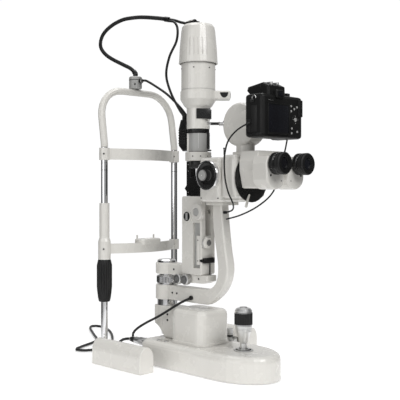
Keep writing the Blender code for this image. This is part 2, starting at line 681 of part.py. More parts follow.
def build_illumination(column, looks):
    arm = body("illumination_arm_axis", (0.0, COLUMN_Y, LAMP_ARM_LOW), column)
    centre = (0.0, COLUMN_Y, 0.0)
    post_back = POST_REAR_Y + 0.003
    side_view = [
        (COLUMN_Y, LAMP_ARM_LOW), (0.084, LAMP_ARM_LOW), (0.079, 0.1705), (0.018, 0.1725), (0.006, 0.1775),
        (0.006, POST_FOOT), (post_back, POST_FOOT), (post_back, 0.202), (post_back + 0.006, LAMP_ARM_HIGH),
        (COLUMN_Y, LAMP_ARM_HIGH),
    ]
    bar = extruded(side_view, "X", -LAMP_ARM_HALF_WIDTH, LAMP_ARM_HALF_WIDTH, 0.002, 0.002)
    hub = rod(HUB_RADIUS, LAMP_ARM_LOW, LAMP_ARM_HIGH, centre, chamfer=0.0015, steps=ROUND_STEPS)
    bore = rod(COLUMN_RADIUS + RUNNING, LAMP_ARM_LOW - 0.01, LAMP_ARM_HIGH + 0.01, centre, steps=ROUND_STEPS)
    piece("illumination_arm", arm, looks["white"], bar, joined=[hub], cut=[bore])

    post = extruded(
        filleted(rectangle((POST_FRONT_Y, POST_FOOT + GAP), (POST_REAR_Y, POST_TOP)), 0.004, 3), "X",
        -POST_HALF_WIDTH, POST_HALF_WIDTH, 0.0015, 0.0015,
    )
    channels = [
        box((x - 0.006, POST_FRONT_Y + 0.004, 0.204), (x + 0.006, POST_FRONT_Y + 0.024, 0.296))
        for x in (-POST_HALF_WIDTH, POST_HALF_WIDTH)
    ]
    window = box((-0.008, POST_FRONT_Y - 0.01, 0.270), (0.008, POST_REAR_Y + 0.01, POST_TOP - 0.008))
    spindle = rod(0.005, -POST_HALF_WIDTH - 0.01, POST_HALF_WIDTH + 0.01, (0.0, *SLIT_KNOB_PLACE), "X")
    piece("illumination_post", arm, looks["white"], post, cut=[*channels, window, spindle])

    foot = POST_TOP + GAP
    stalk = box((-0.008, 0.060, foot), (0.008, 0.0725, PRISM_TOP), 0.0008, 1)
    lens = rod(0.018, 0.408, PRISM_TOP, (0.0, LAMP_Y, 0.0), chamfer=0.001, steps=ROUND_STEPS)
    web = box((-0.006, 0.050, 0.409), (0.006, 0.064, PRISM_TOP - 0.001))
    head_view = [(0.030, foot), (0.0595, foot), (0.0595, 0.388), (0.046, 0.392), (0.030, 0.380)]
    head = extruded(head_view, "X", -0.012, 0.012, 0.001, 0.001, 1)
    link = box((-0.006, 0.056, foot + 0.001), (0.006, 0.064, 0.372))
    tip = extruded([(0.070, 0.357), (0.0785, 0.366), (0.070, 0.376)], "X", -0.007, 0.007)
    piece("prism_housing", arm, looks["black"], stalk, joined=[lens, web, head, link, tip])

    collar = rod(COLLAR_RADIUS, PRISM_TOP + GAP, COLLAR_TOP, (0.0, LAMP_Y, 0.0), chamfer=0.001, steps=ROUND_STEPS)
    lug = box((-0.005, LAMP_Y + COLLAR_RADIUS - 0.004, 0.427), (0.005, LAMP_Y + COLLAR_RADIUS + 0.005, 0.438), 0.001, 1)
    piece("slit_collar", arm, looks["white"], collar, joined=[lug])

    low = COLLAR_TOP + GAP
    barrel = turned(
        [(0.0, low), (BARREL_RADIUS, low), (BARREL_RADIUS, BARREL_TOP - 0.0065), (FLANGE_RADIUS, BARREL_TOP - 0.006),
         (FLANGE_RADIUS, BARREL_TOP), (0.0, BARREL_TOP)],
        (0.0, LAMP_Y, 0.0),
    )
    plate = slanted(box((0.008, -0.010, 0.448), (0.0225, 0.010, BARREL_TOP - 0.001), 0.001, 1))
    tab = slanted(box((0.008, -0.003, 0.4430), (0.0270, 0.003, 0.4462), 0.0008, 1))
    piece("slit_barrel", arm, looks["grey"], barrel, joined=[plate, tab])

    near = LAMP_Y + BARREL_RADIUS + 0.0005
    block_view = [
        (near, 0.447), (LAMP_Y + 0.039, 0.444), (LAMP_Y + 0.051, 0.456), (LAMP_Y + 0.051, 0.492),
        (LAMP_Y + 0.045, 0.510), (LAMP_Y + 0.031, 0.510), (LAMP_Y + 0.028, 0.480), (near, 0.478),
    ]
    connector = extruded(block_view, "X", -0.008, 0.008, 0.001, 0.001, 1)
    piece("connector_block", arm, looks["black"], connector)

    y, z = SLIT_KNOB_PLACE
    slit = body("slit_width_axis", (0.0, y, z), arm)
    inner, outer = POST_HALF_WIDTH + GAP, POST_HALF_WIDTH + 0.0105
    for side, sign in (("left", -1), ("right", 1)):
        profile = [
            (0.0, sign * 0.0155), (0.0042, sign * 0.0155), (0.0042, sign * inner), (SLIT_KNOB_RADIUS, sign * inner),
            (SLIT_KNOB_RADIUS, sign * (outer - 0.0015)), (SLIT_KNOB_RADIUS - 0.0015, sign * outer),
            (0.0085, sign * outer), (0.0080, sign * (outer - 0.002)), (0.0, sign * (outer - 0.002)),
        ]
        piece(f"slit_width_knob_{side}", slit, looks["white"], turned(profile, (0.0, y, z), "X"))

    x, z = CENTRING_KNOB_PLACE
    front = POST_FRONT_Y - GAP
    centring = body("centring_axis", (x, front, z), arm)
    profile = [
        (0.0, front), (CENTRING_KNOB_RADIUS, front), (CENTRING_KNOB_RADIUS, front - 0.006),
        (CENTRING_KNOB_RADIUS - 0.0025, front - 0.010), (0.0, front - 0.010),
    ]
    piece("centring_knob", centring, looks["white"], turned(profile, (x, 0.0, z), "Y"))

    start = -LAMP_ARM_HALF_WIDTH - GAP
    for place, y in zip(("front", "rear"), LOCK_KNOB_Y):
        lock = body(f"lock_axis_{place}", (start, y, LOCK_KNOB_Z), arm)
        profile = [
            (0.0, start), (0.0070, start), (0.0070, start - 0.002), (LOCK_KNOB_RADIUS, start - 0.003),
            (LOCK_KNOB_RADIUS, start - 0.0125), (LOCK_KNOB_RADIUS - 0.0015, start - 0.014), (0.0, start - 0.014),
        ]
        piece(f"lock_knob_{place}", lock, looks["steel"], turned(profile, (0.0, y, LOCK_KNOB_Z), "X"))
    return arm


def build_lamp(arm, looks):
    foot = BARREL_TOP + GAP
    lamp = body("lamp_axis", (0.0, LAMP_Y, foot), arm)
    centre = (0.0, LAMP_Y, 0.0)
    housing = turned(
        [(0.0, foot), (NECK_RADIUS, foot), (NECK_RADIUS, 0.531), (0.029, 0.536), (LAMP_RING_RADIUS - 0.001, 0.547),
         (LAMP_RING_RADIUS, 0.549), (LAMP_RING_RADIUS, 0.5655), (LAMP_RADIUS, 0.567), (LAMP_RADIUS, LAMP_TOP),
         (0.0, LAMP_TOP)],
        centre, steps=36,
    )
    side_box = slanted(box((0.020, -0.016, 0.5485), (0.066, 0.016, 0.5665), 0.003, 2))
    wheel_slot = slanted(rod(APERTURE_RADIUS + 0.0007, APERTURE_LOW - 0.0006, APERTURE_HIGH + 0.0006,
                             (WHEEL_OFFSET, 0.0, 0.0), steps=ROUND_STEPS))
    lever_well = rod(0.0148, LEVER_Z - 0.0042, LEVER_Z + 0.0042, centre, steps=ROUND_STEPS)
    lever_slot = slanted(box((0.0, -0.0150, LEVER_Z - 0.0042), (0.03, 0.0150, LEVER_Z + 0.0042)))
    piece(
        "lamp_housing", lamp, looks["white"], housing, joined=[side_box], cut=[wheel_slot, lever_well, lever_slot]
    )

    low = LAMP_TOP + GAP
    wall = HOOD_WALL
    outside = [
        (HOOD_RADIUS, low), (HOOD_RADIUS, low + 0.003), (0.0386, low + 0.030), (0.0350, 0.690), (0.0335, 0.698),
        (0.0295, 0.7030), (0.0220, HOOD_TOP - 0.0003), (0.0, HOOD_TOP),
    ]
    inside = [(0.0, HOOD_TOP - wall), (0.0210, HOOD_TOP - wall - 0.0003)]
    inside += [(0.0278, 0.7012), (0.0315, 0.6972), (0.0330, 0.689), (HOOD_RADIUS - wall, low)]
    hood = turned([*inside, *outside], centre, steps=36)
    plug_foot = box((-0.004, 0.060, HOOD_TOP - 0.0035), (0.004, 0.072, 0.711))
    plug = rod(0.0058, 0.056, 0.0775, (0.0, 0.0, 0.7115), "Y", chamfer=0.001)
    piece("lamp_hood", lamp, looks["white"], hood, joined=[plug_foot, plug])

    wheel_place = Vector((0.0, LAMP_Y, APERTURE_LOW)) + SLANT * WHEEL_OFFSET
    wheel_body = body("aperture_axis", wheel_place, lamp)
    wheel = slanted(rod(APERTURE_RADIUS, APERTURE_LOW, APERTURE_HIGH, (WHEEL_OFFSET, 0.0, 0.0), chamfer=0.001,
                        steps=ROUND_STEPS))
    piece("aperture_wheel", wheel_body, looks["black"], wheel)

    lever_body = body("filter_axis", (0.0, LAMP_Y, LEVER_Z), lamp)
    disc = rod(0.0142, LEVER_Z - 0.0036, LEVER_Z + 0.0036, centre, steps=ROUND_STEPS)
    stem = slanted(rod(0.0030, 0.010, LEVER_REACH - 0.002, (0.0, 0.0, LEVER_Z), "X", steps=12))
    knob = slanted(ball(0.0075, (LEVER_REACH, 0.0, LEVER_Z), 16))
    piece("filter_lever", lever_body, looks["chrome"], disc, joined=[stem, knob])


# Microscope, eyepieces and camera


def scope_arm_outline():
    """The arm from the side: level from the column, then curving up to carry the microscope."""
    outer = [
        (0.012, SCOPE_ARM_LOW), (-0.006, 0.1392), (-0.0293, 0.1588), (-0.0430, 0.1815), (-0.0480, 0.2059),
        (-0.0455, 0.2250), (-0.0418, 0.2432), (-0.0350, 0.2944), (-0.0310, SCOPE_ARM_TOP),
    ]
    inner = [
        (-0.0060, SCOPE_ARM_TOP), (-0.0070, 0.2935), (-0.0158, 0.2418), (-0.0195, 0.2200), (-0.0205, 0.2040),
        (-0.0178, 0.1838), (-0.0060, 0.1675), (0.0120, SCOPE_ARM_HIGH),
    ]
    start = [(COLUMN_Y, SCOPE_ARM_HIGH), (COLUMN_Y, SCOPE_ARM_LOW)]
    outline = [tuple(p) for p in smooth_route(outer, 0.011)] + [tuple(p) for p in smooth_route(inner, 0.011)]
    return start + outline


def build_microscope(column, looks):
    arm = body("microscope_arm_axis", (0.0, COLUMN_Y, SCOPE_ARM_LOW), column)
    centre = (0.0, COLUMN_Y, 0.0)
    beam = extruded(scope_arm_outline(), "X", -SCOPE_ARM_HALF_WIDTH, SCOPE_ARM_HALF_WIDTH, 0.003, 0.003)
    hub = rod(HUB_RADIUS, SCOPE_ARM_LOW, SCOPE_ARM_HIGH, centre, chamfer=0.0015, steps=ROUND_STEPS)
    bore = rod(COLUMN_RADIUS + RUNNING, SCOPE_ARM_LOW - 0.01, SCOPE_ARM_HIGH + 0.01, centre, steps=ROUND_STEPS)
    piece("microscope_arm", arm, looks["white"], beam, joined=[hub], cut=[bore])

    half = SCOPE_HALF_WIDTH
    main = box((-half, SCOPE_REAR_Y, SCOPE_LOW), (half, SCOPE_FRONT_Y, SCOPE_HIGH), 0.009, 3)
    piece("microscope_body", arm, looks["white"], main)
    splitter = box(
        (-half, SPLITTER_REAR_Y, SCOPE_LOW + 0.008), (half, SCOPE_REAR_Y - GAP, SCOPE_HIGH + 0.004), 0.009, 3
    )
    pad = rod(0.024, SCOPE_HIGH - 0.006, 0.4365, (0.0, TUBE_Y + 0.0015, 0.0), steps=ROUND_STEPS)
    trim = box((-0.03, -0.2, 0.40), (0.03, SPLITTER_REAR_Y, 0.45))
    piece("beam_splitter", arm, looks["white"], splitter, joined=[pad], cut=[trim])

    drum = body("magnification_axis", (0.0, DRUM_Y, DRUM_Z), arm)
    for side, sign in (("left", -1), ("right", 1)):
        start = half + GAP
        profile = [
            (0.0, start), (DRUM_RADIUS, start), (DRUM_RADIUS, start + 0.006), (DRUM_RADIUS - 0.0020, start + 0.0075),
            (DRUM_RADIUS - 0.0055, start + 0.0075), (0.0185, start + 0.0035), (0.0112, start + 0.0035),
            (0.0108, start + 0.0185), (0.0095, start + 0.0200), (0.0, start + 0.0200),
        ]
        shape = turned([(radius, sign * along) for radius, along in profile], (0.0, DRUM_Y, DRUM_Z), "X")
        piece(f"magnification_knob_{side}", drum, looks["grey"], shape)

    start = SPLITTER_REAR_Y - GAP
    flange = turned(
        [(0.0, start), (FLANGE_DISC_RADIUS, start), (FLANGE_DISC_RADIUS, start - 0.002),
         (0.034, BINOCULAR_FRONT_Y + GAP), (0.0, BINOCULAR_FRONT_Y + GAP)],
        (0.0, 0.0, FLANGE_DISC_Z), "Y",
    )
    piece("dovetail_flange", arm, looks["black"], flange)

    front_view = [(-0.036, 0.437), (-0.0415, 0.418), (-0.0415, 0.400), (-0.033, 0.366), (0.033, 0.366),
                  (0.0415, 0.400), (0.0415, 0.418), (0.036, 0.437)]
    housing = extruded(filleted(front_view, 0.004, 2), "Y", BINOCULAR_REAR_Y, BINOCULAR_FRONT_Y, 0.002, 0.002)
    piece("binocular_housing", arm, looks["white"], housing)
    build_eyepieces(arm, looks)
    build_camera(arm, looks)
    return arm


def build_eyepieces(arm, looks):
    front = BINOCULAR_REAR_Y - GAP
    for side, sign in (("left", -1), ("right", 1)):
        x = sign * HOUSE_X
        house_body = body(f"prism_house_axis_{side}", (x, front, HOUSE_Z), arm)
        lower = arc((x, HOUSE_Z), HOUSE_RADIUS, 200, 340, 12)
        eye_x = sign * EYEPIECE_X
        outline = [*lower, (eye_x + 0.0212, EYEPIECE_Z), (eye_x + 0.016, EYEPIECE_Z + 0.014),
                   (eye_x - 0.016, EYEPIECE_Z + 0.014), (eye_x - 0.0212, EYEPIECE_Z)]
        house = extruded(outline, "Y", HOUSE_REAR_Y, front, 0.003, 0.001)
        piece(f"prism_house_{side}", house_body, looks["white"], house)
        start = HOUSE_REAR_Y - GAP
        eye_body = body(f"eyepiece_axis_{side}", (eye_x, start, EYEPIECE_Z), house_body)
        end = EYEPIECE_END_Y
        profile = [
            (0.0, start), (0.0178, start), (0.0182, start - 0.002), (EYEPIECE_RADIUS, start - 0.004),
            (EYEPIECE_RADIUS, start - 0.010), (0.0186, start - 0.0115), (EYEPIECE_RADIUS, start - 0.013),
            (EYEPIECE_RADIUS, end + 0.004), (EYEPIECE_RADIUS - 0.002, end), (0.0125, end), (0.0110, end + 0.005),
            (0.0, end + 0.005),
        ]
        eyepiece = turned(profile, (eye_x, 0.0, EYEPIECE_Z), "Y")
        piece(f"eyepiece_{side}", eye_body, looks["black"], eyepiece)


def build_camera(arm, looks):
    low = 0.4365 + GAP
    stand = rod(TUBE_RADIUS, low, ELBOW_Z, (0.0, TUBE_Y, 0.0), steps=ROUND_STEPS)
    elbow = extruded(arc((TUBE_Y + 0.002, ELBOW_Z), ELBOW_RADIUS, 0, 350, 35), "X", -0.020, 0.020, 0.006, 0.006, 3)
    barrel = rod(0.027, CAMERA_FRONT_Y + GAP, TUBE_Y - 0.010, (0.0, 0.0, CAMERA_AXIS_Z), "Y", steps=ROUND_STEPS)
    flare = turned(
        [(0.0, 0.448), (TUBE_RADIUS, 0.448), (0.0205, 0.458), (0.0, 0.470)], (0.0, TUBE_Y, 0.0)
    )
    piece("camera_tube", arm, looks["white"], stand, joined=[elbow, barrel, flare])

    half = CAMERA_HALF_WIDTH
    shell = box((-half, CAMERA_REAR_Y, CAMERA_LOW), (half, CAMERA_FRONT_Y, CAMERA_HIGH), 0.006, 2)
    side_view = [
        (CAMERA_REAR_Y + 0.003, 0.530), (CAMERA_REAR_Y + 0.004, 0.556), (-0.160, 0.563), (-0.124, 0.5570),
        (-0.121, 0.549), (CAMERA_FRONT_Y + 0.001, 0.535),
    ]
    hump = extruded(side_view, "X", -0.038, 0.012, 0.004, 0.004)
    grip = box((0.030, CAMERA_FRONT_Y - 0.01, CAMERA_LOW), (half, CAMERA_FRONT_Y + 0.018, CAMERA_HIGH - 0.006), 0.006, 2)
    lug = box((-half - 0.003, -0.160, 0.524), (-half + 0.004, -0.150, 0.529), 0.001, 1)
    eyecup = box((-0.024, CAMERA_REAR_Y - 0.005, 0.533), (-0.002, CAMERA_REAR_Y + 0.010, 0.548), 0.002, 2)
    button_place = (0.046, CAMERA_FRONT_Y + 0.008, 0.0)
    top = CAMERA_HIGH - 0.006
    recess = rod(0.0050, top - 0.004, top + 0.01, button_place)
    piece("camera_body", arm, looks["black"], shell, joined=[hump, grip, lug, eyecup], cut=[recess])

    button_body = body("shutter_button_axis", (button_place[0], button_place[1], top), arm)
    button = rod(0.0045, top - 0.0022, top + 0.0014, button_place, chamfer=0.0005)
    piece("shutter_button", button_body, looks["black"], button)



# Leads


def build_leads(root, base, lamp_arm, scope_arm, looks):
    leads = (
        ("hose_end_lead", lamp_arm, 0.0030, 0.007, [
            (0.0, 0.1325, 0.7283), (0.0, 0.116, 0.7243), (0.0, 0.098, 0.7175), (0.0, 0.0785, 0.7118)]),
        ("lamp_side_lead", lamp_arm, 0.0026, 0.006, [
            (-0.0058, 0.1270, 0.7235), (-0.012, 0.104, 0.7165), (-0.014, 0.0925, 0.7000), (-0.012, 0.0985, 0.6750),
            (-0.010, 0.1220, 0.6460), (-0.010, 0.1320, 0.6090), (-0.009, 0.1194, 0.5710), (-0.006, 0.0960, 0.5330),
            (-0.0044, 0.0855, 0.5200), (-0.0042, 0.0830, 0.5115)]),
        ("fixation_lead", lamp_arm, 0.0026, 0.006, [
            (0.0, 0.2226, 0.6060), (0.0, 0.2080, 0.6045), (0.0, 0.1785, 0.5903), (0.001, 0.1461, 0.5721),
            (0.002, 0.1240, 0.5560), (0.003, 0.1000, 0.5360),
            (0.0042, 0.0855, 0.5200), (0.0042, 0.0830, 0.5115)]),
        ("camera_lead", scope_arm, 0.0016, 0.005, [
            (-0.0600, -0.150, 0.486), (-0.0655, -0.149, 0.485), (-0.0680, -0.125, 0.474), (-0.0640, -0.100, 0.457),
            (-0.0600, -0.0870, 0.435), (-0.0580, -0.0830, 0.410), (-0.0560, -0.0840, 0.382),
            (-0.0540, -0.0900, 0.3580), (-0.0400, -0.0890, 0.3370), (-0.010, -0.0600, 0.3240),
            (-0.006, -0.0370, 0.3180)]),
        ("arm_lead", base, 0.0026, 0.0065, [
            (-0.0145, 0.0540, 0.1400), (-0.024, 0.0740, 0.1290), (-0.030, 0.1000, 0.1130), (-0.034, 0.1300, 0.0960),
            (-0.037, 0.1650, 0.0790), (-0.039, 0.1900, 0.0650), (-0.040, 0.2045, 0.0530),
            (-0.040, 0.2065, 0.0445)]),
        ("power_lead", root, 0.0030, 0.0125, [
            (-0.040, 0.2152, 0.0380), (-0.040, 0.2400, 0.0330), (-0.030, 0.2850, 0.0100), (0.0, 0.3300, 0.0034),
            (0.050, 0.3900, 0.0034), (0.099, 0.4600, 0.0034), (0.128, 0.5250, 0.0034), (0.122, 0.5600, 0.0034),
            (0.096, 0.5400, 0.0034), (0.053, 0.4700, 0.0034), (0.005, 0.3950, 0.0034), (-0.062, 0.3620, 0.0034),
            (-0.090, 0.3450, 0.0034), (-0.082, 0.3200, 0.0034), (-0.050, 0.3150, 0.0034), (-0.030, 0.3350, 0.0034)]),
    )
    for name, owner, radius, spacing, through in leads:
        tube(name, owner, looks["lead"], smooth_route(through, spacing), radius)


def main():
    clear_scene()
    looks = {
        "white": material("white_enamel", (0.80, 0.79, 0.76), 0.35),
        "grey": material("grey_plastic", (0.36, 0.36, 0.36), 0.45),
        "black": material("black_plastic", (0.03, 0.03, 0.032), 0.40),
        "rubber": material("black_rubber", (0.025, 0.025, 0.025), 0.75),
        "lead": material("lead_sheath", (0.02, 0.02, 0.02), 0.55),
        "chrome": material("chrome", (0.82, 0.82, 0.82), 0.12, 1.0),
        "steel": material("brushed_steel", (0.60, 0.60, 0.60), 0.35, 1.0),
    }
    root = body("headrest_and_rails", (0.0, 0.0, 0.0))
    build_headrest(root, looks)
    build_fixation(root, looks)
    build_chin_rest(root, looks)
    build_rails(root, looks)
    axle, axle_height = build_axle(root, looks)
    base = build_base(axle, axle_height, looks)
    build_joystick(base, looks)
    column = build_column(base, looks)
    lamp_arm = build_illumination(column, looks)
    build_lamp(lamp_arm, looks)
    scope_arm = build_microscope(column, looks)
    build_leads(root, base, lamp_arm, scope_arm, looks)


main()
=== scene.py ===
"""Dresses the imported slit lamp: a finish for every node, details that the frame leaves plain, and the studio.

Metres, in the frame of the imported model: +X is the operator's right, +Y points at the patient, +Z is up.
"""

import logging
import math
from dataclasses import dataclass, field
from enum import Enum
from typing import Any, Iterable, Sequence

import bmesh
import bpy
from mathutils import Matrix, Vector


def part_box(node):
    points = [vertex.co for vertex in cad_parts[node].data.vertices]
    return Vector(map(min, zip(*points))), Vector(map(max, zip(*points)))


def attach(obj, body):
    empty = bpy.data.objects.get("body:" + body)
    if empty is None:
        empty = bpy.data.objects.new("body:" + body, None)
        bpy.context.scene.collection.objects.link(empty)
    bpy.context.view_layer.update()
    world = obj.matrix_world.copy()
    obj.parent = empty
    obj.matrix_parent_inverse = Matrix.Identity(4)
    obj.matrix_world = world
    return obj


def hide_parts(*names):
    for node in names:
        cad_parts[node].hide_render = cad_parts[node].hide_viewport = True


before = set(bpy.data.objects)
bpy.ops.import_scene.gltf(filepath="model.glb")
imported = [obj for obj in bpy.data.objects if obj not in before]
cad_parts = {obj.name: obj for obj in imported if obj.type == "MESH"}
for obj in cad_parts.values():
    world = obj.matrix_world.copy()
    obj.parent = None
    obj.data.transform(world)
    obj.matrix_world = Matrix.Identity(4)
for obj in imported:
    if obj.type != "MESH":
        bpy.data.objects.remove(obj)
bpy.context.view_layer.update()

LOG = logging.getLogger("slit_lamp")
Point = tuple[float, float, float]
Colour = tuple[float, float, float]


class Axis(Enum):
    """The axis that a round shape is turned about, as the turn that brings +Z onto it."""

    X = (math.pi / 2, "Y")
    Y = (-math.pi / 2, "X")
    Z = (0.0, "Z")

    def matrix(self) -> Matrix:
        """The rotation that brings +Z onto this axis."""
        angle, about = self.value
        return Matrix.Rotation(angle, 4, about)


# Shader nodes


class Value:
    """A number, a vector or a colour that varies over a surface. Arithmetic on it adds nodes."""

    def __init__(self, tree: "Tree", socket: bpy.types.NodeSocket) -> None:
        """Wraps a socket of a node tree."""
        self.tree = tree
        self.socket = socket

    def _is_number(self, other: Any) -> bool:
        """Whether this and the other are both single numbers."""
        kinds = [term.socket.type for term in (self, other) if isinstance(term, Value)]
        return not isinstance(other, tuple) and all(kind == "VALUE" for kind in kinds)

    def _math(self, operation: str, first: Any, second: Any) -> "Value":
        """Adds one Math or Vector Math node and returns its result."""
        other = second if first is self else first
        kind = "ShaderNodeMath" if self._is_number(other) else "ShaderNodeVectorMath"
        if kind == "ShaderNodeVectorMath" and isinstance(other, (int, float)):
            spread = (float(other),) * 3
            first, second = (first, spread) if first is self else (spread, second)
        made = self.tree.node(kind, {"operation": operation}, {0: first, 1: second})
        return Value(self.tree, made.outputs[0])

    def __add__(self, other: Any) -> "Value":
        """Sum."""
        return self._math("ADD", self, other)

    __radd__ = __add__

    def __mul__(self, other: Any) -> "Value":
        """Product."""
        return self._math("MULTIPLY", self, other)

    __rmul__ = __mul__

    def __sub__(self, other: Any) -> "Value":
        """Difference."""
        return self._math("SUBTRACT", self, other)

    def __rsub__(self, other: Any) -> "Value":
        """Difference, reflected."""
        return self._math("SUBTRACT", other, self)

    def __truediv__(self, other: Any) -> "Value":
        """Quotient."""
        return self._math("DIVIDE", self, other)

    def __rtruediv__(self, other: Any) -> "Value":
        """Quotient, reflected."""
        return self._math("DIVIDE", other, self)

    def between(self, low: float, high: float) -> "Value":
        """Maps the stretch from low to high smoothly onto 0 to 1."""
        made = self.tree.node(
            "ShaderNodeMapRange",
            {"interpolation_type": "SMOOTHSTEP"},
            {"Value": self, "From Min": low, "From Max": high},
        )
        return Value(self.tree, made.outputs["Result"])


class Tree:
    """A node tree, with the one method that adds nodes to it."""

    def __init__(self, tree: bpy.types.NodeTree) -> None:
        """Wraps the node tree of a material or of the world."""
        self.tree = tree

    def node(
        self, kind: str, settings: dict[str, Any] | None = None, inputs: dict[Any, Any] | None = None
    ) -> bpy.types.Node:
        """Adds a node.

        Args:
            kind: The node's type.
            settings: Its properties, set before its sockets.
            inputs: The value or the link of each socket, by its name or number.

        Returns:
            The new node.
        """
        made = self.tree.nodes.new(kind)
        for key, value in (settings or {}).items():
            setattr(made, key, value)
        for key, value in (inputs or {}).items():
            self.feed(made.inputs[key], value)
        return made

    def feed(self, socket: bpy.types.NodeSocket, value: Any) -> None:
        """Links or sets one socket."""
        if isinstance(value, Value):
            value = value.socket
        if isinstance(value, bpy.types.NodeSocket):
            self.tree.links.new(value, socket)
        else:
            socket.default_value = value


class Shader(Tree):
    """The node tree of one material."""

    def __init__(self, name: str) -> None:
        """Starts a material with its Principled shader."""
        self.material = bpy.data.materials.new(name)
        self.material.use_nodes = True
        super().__init__(self.material.node_tree)
        self.surface = self.tree.nodes["Principled BSDF"]
        self.place = self.node("ShaderNodeTexCoord").outputs["Object"]

    def stretched(self, scale: Point) -> bpy.types.NodeSocket:
        """The surface's place with each axis scaled."""
        mapped = self.node("ShaderNodeMapping", {}, {"Vector": self.place, "Scale": scale})
        return mapped.outputs["Vector"]

    def noise(self, scale: float, detail: float = 3.0, place: bpy.types.NodeSocket | None = None) -> Value:
        """Noise with this many features to the metre, from 0 to 1."""
        inputs = {"Vector": place or self.place, "Scale": scale, "Detail": detail}
        return Value(self, self.node("ShaderNodeTexNoise", {}, inputs).outputs[0])

    def reach(self) -> Value:
        """Distance from the origin."""
        made = self.node("ShaderNodeVectorMath", {"operation": "LENGTH"}, {0: self.place})
        return Value(self, made.outputs["Value"])

    def cells(self, scale: float) -> Value:
        """Distance to the nearest of a crowd of points, for a pebbled grain."""
        inputs = {"Vector": self.place, "Scale": scale}
        return Value(self, self.node("ShaderNodeTexVoronoi", {}, inputs).outputs["Distance"])

    def mix(self, share: Value, first: Colour, second: Colour) -> bpy.types.NodeSocket:
        """A colour between two, by a share."""
        made = self.node(
            "ShaderNodeMix", {"data_type": "RGBA"}, {0: share, 6: (*first, 1.0), 7: (*second, 1.0)}
        )
        return made.outputs[2]

    def bump(self, height: Value, distance: float, strength: float = 1.0) -> None:
        """Lets a height, in units of a distance, tilt the surface."""
        made = self.node(
            "ShaderNodeBump", {}, {"Height": height, "Distance": distance, "Strength": strength}
        )
        self.feed(self.surface.inputs["Normal"], made.outputs["Normal"])


class Grain(Enum):
    """The fine relief of a finish."""

    PEEL = "sprayed enamel"
    MOULDED = "moulded plastic"
    PEBBLED = "pebbled grip"
    BRUSHED = "brushed along one axis"
    POLISHED = "polished"


@dataclass(frozen=True)
class Finish:
    """What a surface is made of."""

    slot: str
    colour: Colour
    shade: Colour
    roughness: float
    spread: float
    grain: Grain
    relief: float
    metallic: float = 0.0
    coat: float = 0.0
    along: Point = (1.0, 1.0, 1.0)
    blotch: float = 14.0
    specular: float = 0.5

    def build(self, name: str) -> bpy.types.Material:
        """Makes the material."""
        shader = Shader(name)
        cloud = shader.noise(self.blotch, 4.0).between(0.35, 0.68)
        speck = shader.noise(420.0, 2.0)
        shader.feed(shader.surface.inputs["Base Color"], shader.mix(cloud, self.colour, self.shade))
        handled = shader.noise(38.0, 5.0).between(0.45, 0.75)
        rough = handled * self.spread + speck * (self.spread * 0.5) + (self.roughness - self.spread * 0.5)
        shader.feed(shader.surface.inputs["Roughness"], rough)
        shader.surface.inputs["Metallic"].default_value = self.metallic
        shader.surface.inputs["Coat Weight"].default_value = self.coat
        shader.surface.inputs["Coat Roughness"].default_value = 0.12
        shader.surface.inputs["Specular IOR Level"].default_value = self.specular
        shader.bump(self.height(shader), self.relief)
        return shader.material

    def height(self, shader: Shader) -> Value:
        """The fine relief, from 0 to 1."""
        if self.grain is Grain.PEEL:
            return shader.noise(650.0, 2.0) * 0.6 + shader.noise(2200.0, 2.0) * 0.4
        if self.grain is Grain.MOULDED:
            return shader.noise(2600.0, 3.0) * 0.7 + shader.noise(260.0, 2.0) * 0.3
        if self.grain is Grain.PEBBLED:
            return shader.cells(900.0).between(0.05, 0.75) * 0.8 + shader.noise(3000.0, 2.0) * 0.2
        if self.grain is Grain.BRUSHED:
            return shader.noise(900.0, 4.0, shader.stretched(self.along))
        return shader.noise(300.0, 2.0) * 0.5 + shader.noise(1500.0, 2.0, shader.stretched(self.along)) * 0.5


@dataclass(frozen=True)
class Glass(Finish):
    """Dark coated glass: a lens or a screen."""

    def height(self, shader: Shader) -> Value:
        """Almost flat."""
        return shader.noise(60.0, 1.0)


